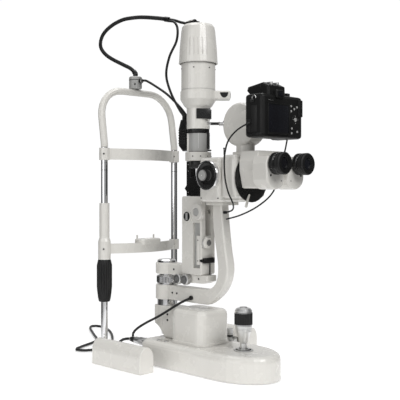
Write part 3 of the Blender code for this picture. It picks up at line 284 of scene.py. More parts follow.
class Looks:
    """Every material, made once and handed out by name."""

    FINISHES: dict[str, Finish] = {
        "enamel": Finish("white_enamel", (0.715, 0.70, 0.66), (0.705, 0.688, 0.648), 0.27, 0.025,
                         Grain.PEEL, 0.000012, coat=0.35, blotch=5.0),
        "warm_enamel": Finish("white_enamel", (0.64, 0.625, 0.59), (0.63, 0.613, 0.577), 0.32, 0.03,
                              Grain.PEEL, 0.000012, coat=0.15, blotch=5.0),
        "grey": Finish("grey_plastic", (0.16, 0.16, 0.155), (0.135, 0.135, 0.133), 0.40, 0.12,
                       Grain.MOULDED, 0.00005),
        "pale_grey": Finish("grey_plastic", (0.40, 0.40, 0.39), (0.36, 0.36, 0.35), 0.38, 0.12,
                            Grain.MOULDED, 0.00004),
        "black": Finish("black_plastic", (0.009, 0.009, 0.009), (0.015, 0.015, 0.015), 0.30, 0.12,
                        Grain.MOULDED, 0.00004, specular=0.35),
        "camera": Finish("black_plastic", (0.008, 0.008, 0.008), (0.013, 0.013, 0.013), 0.42, 0.10,
                         Grain.MOULDED, 0.00006, specular=0.22),
        "camera_grip": Finish("black_rubber", (0.007, 0.007, 0.007), (0.012, 0.012, 0.012), 0.58, 0.12,
                              Grain.PEBBLED, 0.00030, specular=0.22),
        "rubber": Finish("black_rubber", (0.010, 0.010, 0.010), (0.017, 0.017, 0.017), 0.55, 0.14,
                         Grain.MOULDED, 0.00008, specular=0.3),
        "sheath": Finish("lead_sheath", (0.009, 0.009, 0.009), (0.015, 0.015, 0.015), 0.44, 0.12,
                         Grain.MOULDED, 0.00006, specular=0.35),
        "chrome": Finish("chrome", (0.80, 0.80, 0.81), (0.78, 0.78, 0.79), 0.11, 0.03,
                         Grain.POLISHED, 0.000004, metallic=1.0, along=(1.0, 1.0, 0.1)),
        "satin_chrome": Finish("chrome", (0.70, 0.70, 0.69), (0.66, 0.66, 0.66), 0.30, 0.06,
                               Grain.BRUSHED, 0.00001, metallic=1.0, along=(1.0, 1.0, 0.06)),
        "steel": Finish("brushed_steel", (0.64, 0.64, 0.63), (0.57, 0.57, 0.57), 0.32, 0.10,
                        Grain.BRUSHED, 0.00003, metallic=1.0, along=(0.08, 1.0, 1.0)),
        "dark_steel": Finish("brushed_steel", (0.07, 0.07, 0.07), (0.05, 0.05, 0.05), 0.35, 0.10,
                             Grain.BRUSHED, 0.00003, metallic=1.0, along=(1.0, 1.0, 0.08)),
        "mark": Finish("white_enamel", (0.72, 0.72, 0.71), (0.67, 0.67, 0.67), 0.5, 0.05,
                       Grain.MOULDED, 0.00001),
        "glass": Glass("black_plastic", (0.006, 0.006, 0.008), (0.009, 0.010, 0.014), 0.07, 0.04,
                       Grain.POLISHED, 0.00001, coat=0.6, specular=0.4),
    }

    def __init__(self) -> None:
        """Builds them all."""
        self.materials = {name: finish.build(name) for name, finish in self.FINISHES.items()}

    def dress(self, thing: bpy.types.Object, name: str) -> None:
        """Gives a piece or a node one of the finishes."""
        thing.data.materials.clear()
        thing.data.materials.append(self.materials[name])


# Mesh work


def smooth_route(points: Sequence[Point], spacing: float) -> list[Vector]:
    """Evenly spaced points on a smooth curve through the given ones.

    Args:
        points: The route's own points, given in order.
        spacing: The distance between the points that are returned, about.

    Returns:
        The points, from the first to the last of the route.
    """
    knots = [Vector(point) for point in points]
    knots = [2 * knots[0] - knots[1], *knots, 2 * knots[-1] - knots[-2]]
    fine: list[Vector] = []
    for a, b, c, d in zip(knots, knots[1:], knots[2:], knots[3:]):
        for step in range(16):
            t = step / 16
            curve = 2 * b + (c - a) * t + (2 * a - 5 * b + 4 * c - d) * t**2 + (3 * b - a - 3 * c + d) * t**3
            fine.append(curve / 2)
    fine.append(knots[-2])
    lengths = [(q - p).length for p, q in zip(fine, fine[1:])]
    count = max(2, round(sum(lengths) / spacing))
    route, walked, index = [fine[0]], 0.0, 0
    for k in range(1, count):
        target = sum(lengths) * k / count
        while walked + lengths[index] < target:
            walked += lengths[index]
            index += 1
        route.append(fine[index].lerp(fine[index + 1], (target - walked) / lengths[index]))
    return [*route, fine[-1]]


class Maker:
    """Gathers shapes into one mesh, then makes a piece of it."""

    def __init__(self, looks: Looks) -> None:
        """Starts with nothing in the mesh."""
        self.looks = looks
        self.shapes = bmesh.new()

    def take(self, shape: bmesh.types.BMesh, matrix: Matrix | None = None) -> "Maker":
        """Moves a shape into the mesh."""
        bmesh.ops.recalc_face_normals(shape, faces=shape.faces[:])
        if matrix is not None:
            bmesh.ops.transform(shape, matrix=matrix, verts=shape.verts[:])
        holder = bpy.data.meshes.new("holder")
        shape.to_mesh(holder)
        shape.free()
        self.shapes.from_mesh(holder)
        bpy.data.meshes.remove(holder)
        return self

    def turned(
        self, profile: Sequence[tuple[float, float]], centre: Point, axis: Axis = Axis.Z, sides: int = 40,
        flutes: int = 0, depth: float = 0.0, matrix: Matrix | None = None,
    ) -> "Maker":
        """Turns a profile of (radius, place along the axis), closed into a ring if it starts off the axis.

        Args:
            profile: The corners, in order.
            centre: A point on the axis.
            axis: The axis that it is turned about.
            sides: Facets around.
            flutes: Grooves around its side. They take their own count of sides.
            depth: How deep a groove is.
            matrix: A last move, in the frame.

        Returns:
            This maker.
        """
        shape = bmesh.new()
        around = flutes * 4 if flutes else sides
        widest = max(radius for radius, _ in profile)
        rings = []
        for radius, along in profile:
            if radius < 1e-7:
                rings.append([shape.verts.new((0.0, 0.0, along))])
                continue
            ring = []
            for k in range(around):
                angle = 2 * math.pi * k / around
                fluted = flutes and radius > 0.93 * widest
                dip = depth * (0.5 - 0.5 * math.cos(flutes * angle)) if fluted else 0.0
                reach = radius - dip
                ring.append(shape.verts.new((reach * math.cos(angle), reach * math.sin(angle), along)))
            rings.append(ring)
        pairs = list(zip(rings, rings[1:]))
        if len(rings[0]) > 1 and len(rings[-1]) > 1:
            pairs.append((rings[-1], rings[0]))
        for low, high in pairs:
            for k in range(around):
                corners = [low[k % len(low)], low[(k + 1) % len(low)], high[(k + 1) % len(high)],
                           high[k % len(high)]]
                corners = [v for n, v in enumerate(corners) if v not in corners[:n]]
                if len(corners) > 2:
                    shape.faces.new(corners)
        move = Matrix.Translation(centre) @ axis.matrix()
        return self.take(shape, move if matrix is None else matrix @ move)

    def disc(
        self, radius: float, low: float, high: float, centre: Point, axis: Axis = Axis.Z,
        edge: float = 0.0003,
        sides: int = 32, flutes: int = 0, depth: float = 0.0, bore: float = 0.0, matrix: Matrix | None = None,
    ) -> "Maker":
        """A round bar, or a ring where it has a bore, with its edges broken."""
        low, high = min(low, high), max(low, high)
        side = [(radius - edge, low), (radius, low + edge), (radius, high - edge), (radius - edge, high)]
        profile = [(bore, low), *side, (bore, high)]
        return self.turned(profile, centre, axis, sides, flutes, depth, matrix)

    def block(
        self, low: Sequence[float], high: Sequence[float], rounding: float = 0.0005, segments: int = 2,
        matrix: Matrix | None = None,
    ) -> "Maker":
        """A block between two corners with round edges."""
        start, end = Vector(low), Vector(high)
        shape = bmesh.new()
        scale = Matrix.Diagonal((*(end - start), 1.0))
        bmesh.ops.create_cube(shape, size=1.0, matrix=Matrix.Translation((start + end) / 2) @ scale)
        bmesh.ops.bevel(
            shape, geom=shape.edges[:], offset=rounding, segments=segments, profile=0.5, affect="EDGES"
        )
        return self.take(shape, matrix)

    def plate(self, outline: Sequence[tuple[float, float]], depth: float, matrix: Matrix) -> "Maker":
        """A plate of this outline, drawn in X and Y and raised along Z, then moved."""
        shape = bmesh.new()
        corners = [shape.verts.new((x, y, 0.0)) for x, y in outline]
        raised = bmesh.ops.extrude_face_region(shape, geom=[shape.faces.new(corners)])
        top = [part for part in raised["geom"] if isinstance(part, bmesh.types.BMVert)]
        bmesh.ops.translate(shape, verts=top, vec=(0.0, 0.0, depth))
        return self.take(shape, matrix)

    def screw(self, place: Sequence[float], outward: Sequence[float], radius: float) -> "Maker":
        """A socket-head screw, seen from outside: a domed head with a recess."""
        facing = Vector(outward).to_track_quat("Z", "Y").to_matrix().to_4x4()
        profile = [
            (0.0, -radius * 0.2), (radius, -radius * 0.2), (radius, radius * 0.15),
            (radius * 0.8, radius * 0.42),
            (radius * 0.5, radius * 0.48), (radius * 0.46, radius * 0.05), (0.0, radius * 0.05),
        ]
        return self.turned(profile, (0.0, 0.0, 0.0), sides=20, matrix=Matrix.Translation(place) @ facing)

    def sweep(self, route: Sequence[Vector], radii: Sequence[float], sides: int = 12) -> "Maker":
        """A tube along a route, with its own radius at each point and closed ends."""
        shape = bmesh.new()
        rings = []
        side = Vector((1.0, 0.0, 0.0))
        for k, (place, radius) in enumerate(zip(route, radii)):
            ahead = (route[min(k + 1, len(route) - 1)] - route[max(k - 1, 0)]).normalized()
            side = (side - ahead * side.dot(ahead)).normalized()
            up = ahead.cross(side)
            turns = [2 * math.pi * n / sides for n in range(sides)]
            spokes = [side * math.cos(a) + up * math.sin(a) for a in turns]
            rings.append([shape.verts.new(place + spoke * radius) for spoke in spokes])
        for low, high in zip(rings, rings[1:]):
            for n in range(sides):
                shape.faces.new((low[n], low[(n + 1) % sides], high[(n + 1) % sides], high[n]))
        shape.faces.new(rings[0])
        shape.faces.new(rings[-1])
        return self.take(shape)

    def piece(self, name: str, body: str, finish: str, replaces: Iterable[str] = ()) -> bpy.types.Object:
        """Makes the piece, puts it on its body and starts the mesh again.

        Args:
            name: The piece's name.
            body: The body that it rides on.
            finish: Its finish.
            replaces: The nodes that it stands for.

        Returns:
            The piece.
        """
        mesh = bpy.data.meshes.new(name)
        self.shapes.to_mesh(mesh)
        self.shapes.free()
        self.shapes = bmesh.new()
        mesh.shade_smooth()
        mesh.set_sharp_from_angle(angle=math.radians(38))
        made = bpy.data.objects.new(name, mesh)
        bpy.context.scene.collection.objects.link(made)
        self.looks.dress(made, finish)
        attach(made, body)
        if replaces:
            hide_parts(*replaces)
        LOG.info("%s on %s", name, body)
        return made


def middle(node: str) -> Vector:
    """The centre of a node's box."""
    low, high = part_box(node)
    return (low + high) / 2


def slant(centre: Vector) -> Matrix:
    """Turns what is drawn along +X from the axis to point to the operator's right and front."""
    return Matrix.Translation((centre.x, centre.y, 0.0)) @ Matrix.Rotation(-math.pi / 4, 4, "Z")


@dataclass
class Assembly:
    """A part of the instrument that is dressed as one."""

    looks: Looks
    make: Maker = field(init=False)

    def __post_init__(self) -> None:
        """Gives it a maker of its own."""
        self.make = Maker(self.looks)

    def paint(self, finish: str, *nodes: str) -> None:
        """Gives nodes that keep their shape a finish."""
        for node in nodes:
            self.looks.dress(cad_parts[node], finish)


@dataclass
class Headrest(Assembly):
    """Rods, loop, band, chin rest with its handle, and the fixation arm."""

    handle_flutes: int = 22
    ring_pitch: float = 0.0032
    hose_radius: float = 0.0045

    def build(self) -> None:
        """Dresses the headrest."""
        self.paint("enamel", "headrest_loop", "brow_band", "chin_rest")
        self.paint("chrome", "headrest_rod_left", "headrest_rod_right")
        self.paint("pale_grey", "fixation_holder")
        self.marks()
        self.handle()
        self.gooseneck()
        self.trim()

    def marks(self) -> None:
        """The eye-level rings on the rods."""
        for side in ("left", "right"):
            place = middle(f"headrest_rod_{side}")
            low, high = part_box(f"headrest_rod_{side}")
            radius = (high.x - low.x) / 2
            for height, width in ((0.405, 0.0011), (0.4385 - 0.018, 0.0006)):
                self.make.disc(radius + 0.0002, height, height + width, (place.x, place.y, 0.0),
                               bore=radius - 0.0004)
            self.make.piece(f"eye_level_marks_{side}", "headrest_and_rails", "black")

    def handle(self) -> None:
        """The fluted handle that sets the chin rest's height."""
        low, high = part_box("chin_handle")
        place, widest = middle("chin_handle"), (high.x - low.x) / 2
        bore = (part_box("headrest_rod_left")[1].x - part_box("headrest_rod_left")[0].x) / 2 + 0.0004
        profile = [
            (bore, low.z), (0.0112, low.z), (0.0120, low.z + 0.001), (0.0136, low.z + 0.008),
            (0.0152, low.z + 0.020), (widest, low.z + 0.032), (widest, high.z - 0.012),
            (0.0154, high.z - 0.008),
            (0.0140, high.z - 0.002), (0.0130, high.z), (bore, high.z),
        ]
        self.make.turned(profile, (place.x, place.y, 0.0), flutes=self.handle_flutes, depth=0.0013)
        self.make.piece("chin_handle_fluted", "chin_handle_nut", "rubber", ["chin_handle"])
        self.make.disc(0.0139, high.z - 0.0045, high.z - 0.0025, (place.x, place.y, 0.0), bore=0.0125)
        self.make.piece("chin_handle_ring", "chin_handle_nut", "steel")

    def gooseneck(self) -> None:
        """The ribbed hose from the holder to the lamp, with its end collars."""
        through = [
            (0.0, 0.245, 0.6192), (0.0, 0.2465, 0.6255), (0.0, 0.262, 0.6375), (0.0, 0.288, 0.649),
            (0.0, 0.329, 0.667), (0.0, 0.355, 0.682), (0.0, 0.371, 0.699), (0.0, 0.371, 0.716),
            (0.0, 0.358, 0.732), (0.0, 0.329, 0.745), (0.0, 0.291, 0.752), (0.0, 0.255, 0.751),
            (0.0, 0.220, 0.747), (0.0, 0.169, 0.737), (0.0, 0.134, 0.7285),
        ]
        route = smooth_route(through, self.ring_pitch / 4)
        wave = (1.0, 0.93, 0.80, 0.93)
        radii = [self.hose_radius * wave[k % 4] for k in range(len(route))]
        self.make.sweep(route, radii, 14)
        self.make.piece("gooseneck_hose", "fixation_arm", "rubber", ["fixation_gooseneck"])
        for k, (start, end, radius) in enumerate(((0, 16, 0.0056),
                                                  (len(route) - 18, len(route) - 1, 0.0056))):
            stretch = route[start:end + 1]
            self.make.sweep(stretch, [radius - 0.0005, *[radius] * (len(stretch) - 2), radius - 0.0005], 18)
            self.make.piece(f"gooseneck_collar_{k}", "fixation_arm", "black")

    def trim(self) -> None:
        """Clip screws, and the holder's ring, screw and gland nut."""
        for side in ("left", "right"):
            rod = middle(f"headrest_rod_{side}")
            for height, body in ((0.440, "headrest_and_rails"), (0.2375, "chin_carrier")):
                reach = 0.0113 if side == "right" or height > 0.3 else 0.0135
                self.make.screw((rod.x - reach * 0.7071, rod.y - reach * 0.7071, height), (-1, -1, 0), 0.0019)
                self.make.piece(f"clip_screw_{side}_{'band' if height > 0.3 else 'chin'}", body, "dark_steel")
        holder = middle("fixation_holder")
        low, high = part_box("fixation_holder")
        centre = (0.0, 0.245, 0.0)
        self.make.disc(0.0147, high.z - 0.0085, high.z - 0.0070, centre, bore=0.0138, sides=40)
        self.make.piece("holder_groove", "fixation_arm", "black")
        self.make.screw((centre[0] - 0.0103, centre[1] - 0.0103, holder.z - 0.004), (-1, -1, 0), 0.0020)
        self.make.piece("holder_screw", "fixation_arm", "dark_steel")
        self.make.disc(0.0056, low.y + 0.0005, low.y + 0.006, (0.0, 0.0, 0.606), Axis.Y, flutes=14,
                       depth=0.0004)
        self.make.piece("holder_gland_nut", "fixation_arm", "black")


@dataclass
class Base(Assembly):
    """Rail covers, axle, base, tower, joystick and stage lock."""

    grip_flutes: int = 30

    def build(self) -> None:
        """Dresses everything below the column."""
        self.paint("enamel", "base_housing", "tower_cover", "rail_cover_left", "rail_cover_right")
        self.paint("grey", "base_plate")
        self.paint("steel", "guide_rail_left", "guide_rail_right", "cross_axle", "track_wheel_left",
                   "track_wheel_right", "joystick_gimbal", "base_socket")
        self.paint("satin_chrome", "joystick_stem", "joystick_cap")
        self.paint("pale_grey", "stage_lock_knob")
        self.joystick()
        self.tower()
        self.socket()
        self.wheels()

    def joystick(self) -> None:
        """The ribbed grip, its bands, the hole's ring and the cap's edge."""
        low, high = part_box("joystick_grip")
        place, radius = middle("joystick_grip"), (high.x - low.x) / 2
        centre = (place.x, place.y, 0.0)
        profile = [
            (0.0, low.z), (radius - 0.002, low.z), (radius - 0.0005, low.z + 0.0008), (radius, low.z + 0.002),
            (radius, high.z - 0.002), (radius - 0.0005, high.z - 0.0008), (radius - 0.002, high.z),
            (0.0, high.z),
        ]
        self.make.turned(profile, centre, flutes=self.grip_flutes, depth=0.0010)
        self.make.piece("joystick_grip_ribbed", "stick_grip", "rubber", ["joystick_grip"])
        for name, height in (("lower", low.z + 0.0004), ("upper", high.z - 0.0016)):
            self.make.disc(radius + 0.0001, height, height + 0.0012, centre, bore=radius - 0.002, sides=48)
            self.make.piece(f"joystick_grip_band_{name}", "stick_grip", "chrome")
        cap_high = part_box("joystick_cap")[1]
        self.make.disc(0.0075, cap_high.z - 0.0010, cap_high.z + 0.0010, centre, edge=0.0006, sides=36)
        self.make.piece("joystick_cap_button", "stick_grip", "steel")
        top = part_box("base_housing")[1].z
        self.make.disc(0.0195, top - 0.0004, top + 0.0016, centre, edge=0.0006, bore=0.0155, sides=48)
        self.make.piece("joystick_collar", "base", "pale_grey")
        stem_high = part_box("joystick_stem")[1]
        for k in range(3):
            height = stem_high.z - 0.006 - 0.0030 * k
            reach = 0.0168 - 0.0008 * k
            self.make.disc(reach, height, height + 0.0010, centre, edge=0.0004, bore=reach - 0.003, sides=48)
        self.make.piece("joystick_cone_rings", "stick", "satin_chrome")

    def tower(self) -> None:
        """The stage lock's collar and the tower's and bracket's screws."""
        knob = middle("stage_lock_knob")
        low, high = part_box("stage_lock_knob")
        self.make.disc(0.0064, low.z + 0.0085, low.z + 0.0125, (knob.x, knob.y, 0.0), bore=0.0054)
        self.make.piece("stage_lock_band", "stage_lock", "black")
        self.make.disc(0.0064, high.z - 0.0090, high.z - 0.0010, (knob.x, knob.y, 0.0), flutes=18,
                       depth=0.0004,
                       bore=0.0054)
        self.make.piece("stage_lock_knurl", "stage_lock", "steel")
        for x in (-0.0196, 0.0196):
            for z in (0.100, 0.088):
                self.make.screw((x, 0.118, z), (x, 0, 0), 0.0022)
        self.make.piece("bracket_screws", "base", "dark_steel")
        tower_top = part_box("tower_cover")[1].z
        for x, y in ((-0.020, 0.062), (0.014, 0.022)):
            self.make.disc(0.0072, tower_top - 0.0004, tower_top + 0.0007, (x, y, 0.0), edge=0.0004,
                           bore=0.0050)
            self.make.disc(0.0046, tower_top - 0.0004, tower_top + 0.0003, (x, y, 0.0))
        self.make.piece("tower_caps", "base", "warm_enamel")
        base_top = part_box("base_housing")[1].z
        for x, y in ((-0.0480, 0.112), (-0.0470, 0.092)):
            self.make.disc(0.0058, base_top - 0.0006, base_top + 0.0016, (x, y, 0.0), edge=0.0006,
                           bore=0.0028)
        self.make.piece("base_adjusters", "base", "steel")
        column = middle("lift_column")
        centre = (column.x, column.y, 0.0)
        self.make.disc(0.0216, 0.1655, 0.1785, centre, flutes=44, depth=0.0006, bore=0.0200)
        self.make.piece("column_knurled_ring", "lift", "chrome")
        self.paint("chrome", "lift_column")

    def socket(self) -> None:
        """The rear plug's nut, ribs and tail."""
        low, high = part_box("base_socket")
        place = middle("base_socket")
        centre = (place.x, 0.0, place.z)
        self.make.disc(0.0086, low.y + 0.009, low.y + 0.021, centre, Axis.Y, flutes=26, depth=0.0005,
                       bore=0.0072)
        self.make.piece("socket_nut", "base", "steel")
        profile = [(0.0, high.y - 0.0180), (0.0064, high.y - 0.0180), (0.0062, high.y - 0.0120)]
        for k in range(4):
            start = high.y - 0.0110 + 0.0026 * k
            reach = 0.0059 - 0.0003 * k
            profile += [(reach, start), (reach, start + 0.0014), (reach - 0.0008, start + 0.0017)]
        profile += [(0.0042, high.y), (0.0, high.y)]
        self.make.turned(profile, centre, Axis.Y, 28)
        self.make.piece("socket_tail", "base", "rubber")

    def wheels(self) -> None:
        """Teeth on the track wheels."""
        for side in ("left", "right"):
            low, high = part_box(f"track_wheel_{side}")
            centre = (0.0, middle(f"track_wheel_{side}").y, middle(f"track_wheel_{side}").z)
            radius = (high.z - low.z) / 2
            self.make.disc(radius + 0.0001, low.x + 0.0015, high.x - 0.0015, centre, Axis.X, flutes=40,
                           depth=0.0008,
                           bore=radius - 0.003)
            self.make.piece(f"track_wheel_teeth_{side}", f"wheel_{side}", "steel")


@dataclass
class Illumination(Assembly):
    """Arm, post, knobs, prism housing, slit unit and lamp."""

    def build(self) -> None:
        """Dresses the illumination arm and what it carries."""
        self.paint("enamel", "illumination_arm", "illumination_post", "lamp_housing", "lamp_hood")
        self.paint("warm_enamel", "slit_collar", "slit_width_knob_left", "slit_width_knob_right",
                   "centring_knob")
        self.paint("black", "prism_housing", "slit_barrel", "connector_block", "aperture_wheel")
        self.paint("steel", "lock_knob_front", "lock_knob_rear")
        self.paint("chrome", "filter_lever")
        self.knobs()
        self.post()
        self.slit_unit()
        self.lamp()

    def knobs(self) -> None:
        """Knurled lock knobs and the inlaid slit and centring knobs."""
        for place in ("front", "rear"):
            low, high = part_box(f"lock_knob_{place}")
            centre = (0.0, middle(f"lock_knob_{place}").y, middle(f"lock_knob_{place}").z)
            radius = (high.z - low.z) / 2
            self.make.disc(radius + 0.0003, low.x + 0.002, high.x - 0.0035, centre, Axis.X, flutes=28,
                           depth=0.0006,
                           bore=radius - 0.002)
            self.make.piece(f"lock_knob_knurl_{place}", f"lock_{place}", "steel")
            self.make.disc(radius * 0.45, low.x - 0.0002, low.x + 0.0008, centre, Axis.X)
            self.make.piece(f"lock_knob_insert_{place}", f"lock_{place}", "grey")
        for side, sign in (("left", -1), ("right", 1)):
            low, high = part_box(f"slit_width_knob_{side}")
            face = low.x if sign < 0 else high.x
            centre = (0.0, middle("slit_width_knob_left").y, middle("slit_width_knob_left").z)
            self.make.disc(0.0078, face - sign * 0.0025, face - sign * 0.0006, centre, Axis.X, sides=40)
            self.make.piece(f"slit_knob_insert_{side}", "slit_knobs", "pale_grey")
            self.make.disc(0.0168, face - sign * 0.0085, face - sign * 0.0035, centre, Axis.X, flutes=36,
                           depth=0.0005, bore=0.0160)
            self.make.piece(f"slit_knob_knurl_{side}", "slit_knobs", "warm_enamel")
        low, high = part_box("centring_knob")
        centre = (middle("centring_knob").x, 0.0, middle("centring_knob").z)
        self.make.disc(0.0062, low.y - 0.0006, low.y + 0.001, centre, Axis.Y, sides=36)
        self.make.piece("centring_knob_insert", "centring", "grey")
        self.make.disc(0.0123, low.y + 0.0045, high.y - 0.0005, centre, Axis.Y, flutes=30, depth=0.0006,
                       bore=0.0112)
        self.make.piece("centring_knob_knurl", "centring", "steel")

    def post(self) -> None:
        """The post's lined channels, its bars and screws, the pivot cap, the latch and the black rod."""
        low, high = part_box("illumination_post")
        for side, sign in (("left", -1), ("right", 1)):
            face = low.x if sign < 0 else high.x
            inward = face - sign * 0.0060
            rest = sorted((inward, inward + sign * 0.0006))
            self.make.block((rest[0], 0.0208, 0.2045), (rest[1], 0.0402, 0.2955), 0.0001, 1)
            self.make.piece(f"channel_lining_{side}", "lamp_arm", "pale_grey")
            bar = sorted((inward + sign * 0.0006, face + sign * 0.0006))
            self.make.block((bar[0], 0.0212, 0.2110), (bar[1], 0.0300, 0.2700), 0.0008)
            self.make.piece(f"channel_bar_{side}", "lamp_arm", "enamel")
            for height in (0.2190, 0.2610):
                self.make.screw((face + sign * 0.0006, 0.0256, height), (sign, 0, 0), 0.0013)
            self.make.piece(f"channel_screws_{side}", "lamp_arm", "dark_steel")
            edge = face + sign * 0.0028
            ring = [(0.0098, face), (0.0128, face), (0.0128, edge - sign * 0.0006), (0.0122, edge),
                    (0.0104, edge)]
            self.make.turned([*ring, (0.0098, edge - sign * 0.0006)], (0.0, 0.0572, 0.3086), Axis.X, 44)
            self.make.piece(f"pivot_rim_{side}", "lamp_arm", "enamel")
            self.make.disc(0.0097, face - sign * 0.0002, face + sign * 0.0010, (0.0, 0.0572, 0.3086),
                           Axis.X, sides=40)
            self.make.piece(f"pivot_cap_{side}", "lamp_arm", "black")
            tongue = sorted_corner(face + sign * 0.0006, face + sign * 0.0030, (0.0546, 0.3010),
                                   (0.0598, 0.3162))
            self.make.block(*tongue, 0.0006)
            self.make.piece(f"pivot_tongue_{side}", "lamp_arm", "pale_grey")
        self.make.block((-0.016, low.y - 0.0060, 0.2140), (0.014, low.y + 0.0002, 0.2250), 0.001)
        self.make.block((-0.020, low.y - 0.0030, 0.2165), (-0.012, low.y + 0.0060, 0.2225), 0.0008)
        self.make.piece("tilt_latch", "lamp_arm", "black")
        self.make.disc(0.0013, low.z + 0.0005, 0.2145, (0.002, low.y - 0.0030, 0.0), sides=14)
        self.make.piece("latch_rod", "lamp_arm", "black")
        arm_low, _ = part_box("illumination_arm")
        for x in (-0.0140, 0.0140):
            self.make.screw((x, 0.104, 0.196), (x, 0, 0), 0.0022)
            self.make.screw((x, 0.030, arm_low.z + 0.011), (x, 0, 0), 0.0018)
        self.make.piece("illumination_arm_screws", "lamp_arm", "dark_steel")

    def slit_unit(self) -> None:
        """The sleeve, plates and screws of the slit unit, and the lens and mirror of the prism housing."""
        barrel_low, barrel_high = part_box("slit_barrel")
        collar = middle("lamp_hood")
        centre = (0.0, collar.y, 0.0)
        turn = slant(collar)
        self.make.disc(0.0201, barrel_low.z + 0.0012, barrel_high.z - 0.0085, centre, edge=0.0004,
                       bore=0.0190, sides=56)
        self.make.piece("slit_sleeve", "lamp_arm", "pale_grey")
        self.make.block((-0.0232, -0.0060, barrel_low.z + 0.001), (-0.0186, 0.0060, barrel_high.z - 0.0080),
                        0.0006,
                        matrix=turn)
        self.make.piece("slit_guide_plate", "lamp_arm", "enamel")
        self.make.block((0.0190, -0.0108, 0.4470), (0.0236, 0.0108, barrel_high.z - 0.0072), 0.0008,
                        matrix=turn)
        for height in (0.452, 0.476):
            self.make.screw(turn @ Vector((0.0236, 0.0070, height)), (1, -1, 0), 0.0011)
        self.make.piece("slit_length_plate", "lamp_arm", "black")
        self.make.block((-0.0003, -0.0206, 0.4480), (0.0006, -0.0196, 0.4795), 0.0003, 1, matrix=turn)
        self.make.piece("slit_scale_line", "lamp_arm", "mark")
        _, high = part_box("slit_collar")
        for angle in (-160, -125, -90, -55):
            way = Vector((math.cos(math.radians(angle)), math.sin(math.radians(angle)), 0.0))
            self.make.screw(Vector((0.0, collar.y, high.z - 0.009)) + way * 0.0271, way, 0.0013)
        self.make.piece("slit_collar_screws", "lamp_arm", "dark_steel")
        low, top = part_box("prism_housing")
        self.make.disc(0.0150, 0.4070, 0.4082, centre, sides=44)
        self.make.piece("projection_lens", "lamp_arm", "glass")
        self.make.disc(0.0185, 0.4105, 0.4150, centre, flutes=40, depth=0.0005, bore=0.0170)
        self.make.piece("projection_lens_ring", "lamp_arm", "black")
        self.make.block((-0.0105, low.y - 0.0006, 0.3560), (0.0105, low.y + 0.0006, 0.3765), 0.0003, 1)
        self.make.piece("mirror_window", "lamp_arm", "glass")
        for x in (-0.0081, 0.0081):
            for z in (0.358, 0.402, 0.416):
                self.make.screw((x, 0.0662, z), (x, 0, 0), 0.0012)
        self.make.piece("prism_stalk_screws", "lamp_arm", "steel")
        for k in range(6):
            height = 0.4600 + 0.0055 * k
            self.make.block((-0.0084, 0.0760, height), (0.0084, 0.0966, height + 0.0022), 0.0006, 1)
        self.make.piece("connector_ribs", "lamp_arm", "black")

    def lamp(self) -> None:
        """The housing's window, screws and seams, the hood's fins and plug, and the knurls."""
        hood_low, hood_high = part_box("lamp_hood")
        axis = middle("lamp_hood")
        centre = (0.0, axis.y, 0.0)
        turn = slant(axis)
        for k in range(5):
            for facing in (-135.0, 45.0):
                angle = math.radians(facing + 13.0 * (k - 2))
                spin = Matrix.Translation((0.0, axis.y, 0.0)) @ Matrix.Rotation(angle, 4, "Z")
                tilt = Matrix.Translation((0.0388, 0.0, hood_low.z + 0.014)) @ Matrix.Rotation(-0.062, 4, "Y")
                self.make.block((-0.0014, -0.0015, 0.0), (0.0010, 0.0015, 0.036), 0.0007, matrix=spin @ tilt)
        self.make.piece("hood_ribs", "lamp", "warm_enamel")
        radius = (hood_high.x - hood_low.x) / 2
        self.make.disc(radius + 0.0004, hood_low.z + 0.0002, hood_low.z + 0.0022, centre, edge=0.0005,
                       bore=radius - 0.001, sides=64)
        self.make.piece("hood_rim", "lamp", "warm_enamel")
        self.make.disc(0.0060, 0.0535, 0.0700, (0.0, 0.0, 0.7115), Axis.Y, flutes=16, depth=0.0004)
        self.make.disc(0.0052, 0.0690, 0.0782, (0.0, 0.0, 0.7115), Axis.Y)
        self.make.block((-0.0110, 0.0480, hood_high.z - 0.0130), (0.0090, 0.0740, hood_high.z - 0.0040),
                        0.0020)
        self.make.piece("hood_plug_cover", "lamp", "black")
        for angle in (-150, -95, -40, 60, 150):
            way = Vector((math.cos(math.radians(angle)), math.sin(math.radians(angle)), 0.0))
            self.make.screw(Vector((0.0, axis.y, 0.6120)) + way * 0.0353, way, 0.0014)
        self.make.piece("lamp_housing_screws", "lamp", "dark_steel")
        self.make.disc(0.0355, 0.5688, 0.5696, centre, edge=0.0001, bore=0.0345, sides=64)
        self.make.piece("lamp_seam", "lamp", "pale_grey")
        bow = [math.radians(angle) for angle in range(180, 361, 20)]
        outline = [(0.0530 + 0.0085 * math.cos(a), 0.5630 + 0.0110 * math.sin(a)) for a in bow]
        stand = Matrix(((1, 0, 0, 0), (0, 0, -1, -0.0155), (0, 1, 0, 0), (0, 0, 0, 1)))
        self.make.plate(outline, 0.0009, turn @ stand)
        self.make.block((0.0640, -0.0110, 0.5520), (0.0666, 0.0110, 0.5620), 0.0008, matrix=turn)
        self.make.piece("filter_window", "lamp", "black")
        wheel_low, wheel_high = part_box("aperture_wheel")
        wheel = middle("aperture_wheel")
        self.make.disc(0.0187, wheel_low.z + 0.0008, wheel_high.z - 0.0008, (wheel.x, wheel.y, 0.0),
                       flutes=48,
                       depth=0.0007, bore=0.0165)
        self.make.piece("aperture_wheel_knurl", "aperture", "rubber")
        for k in range(8):
            spin = Matrix.Translation((wheel.x, wheel.y, 0.0)) @ Matrix.Rotation(2 * math.pi * k / 8, 4, "Z")
            self.make.block((0.0183, -0.0004, wheel_low.z + 0.005), (0.0188, 0.0004, wheel_high.z - 0.008),
                            0.0001, 1,
                            matrix=spin)
        self.make.piece("aperture_marks", "aperture", "mark")
        lever = middle("filter_lever")
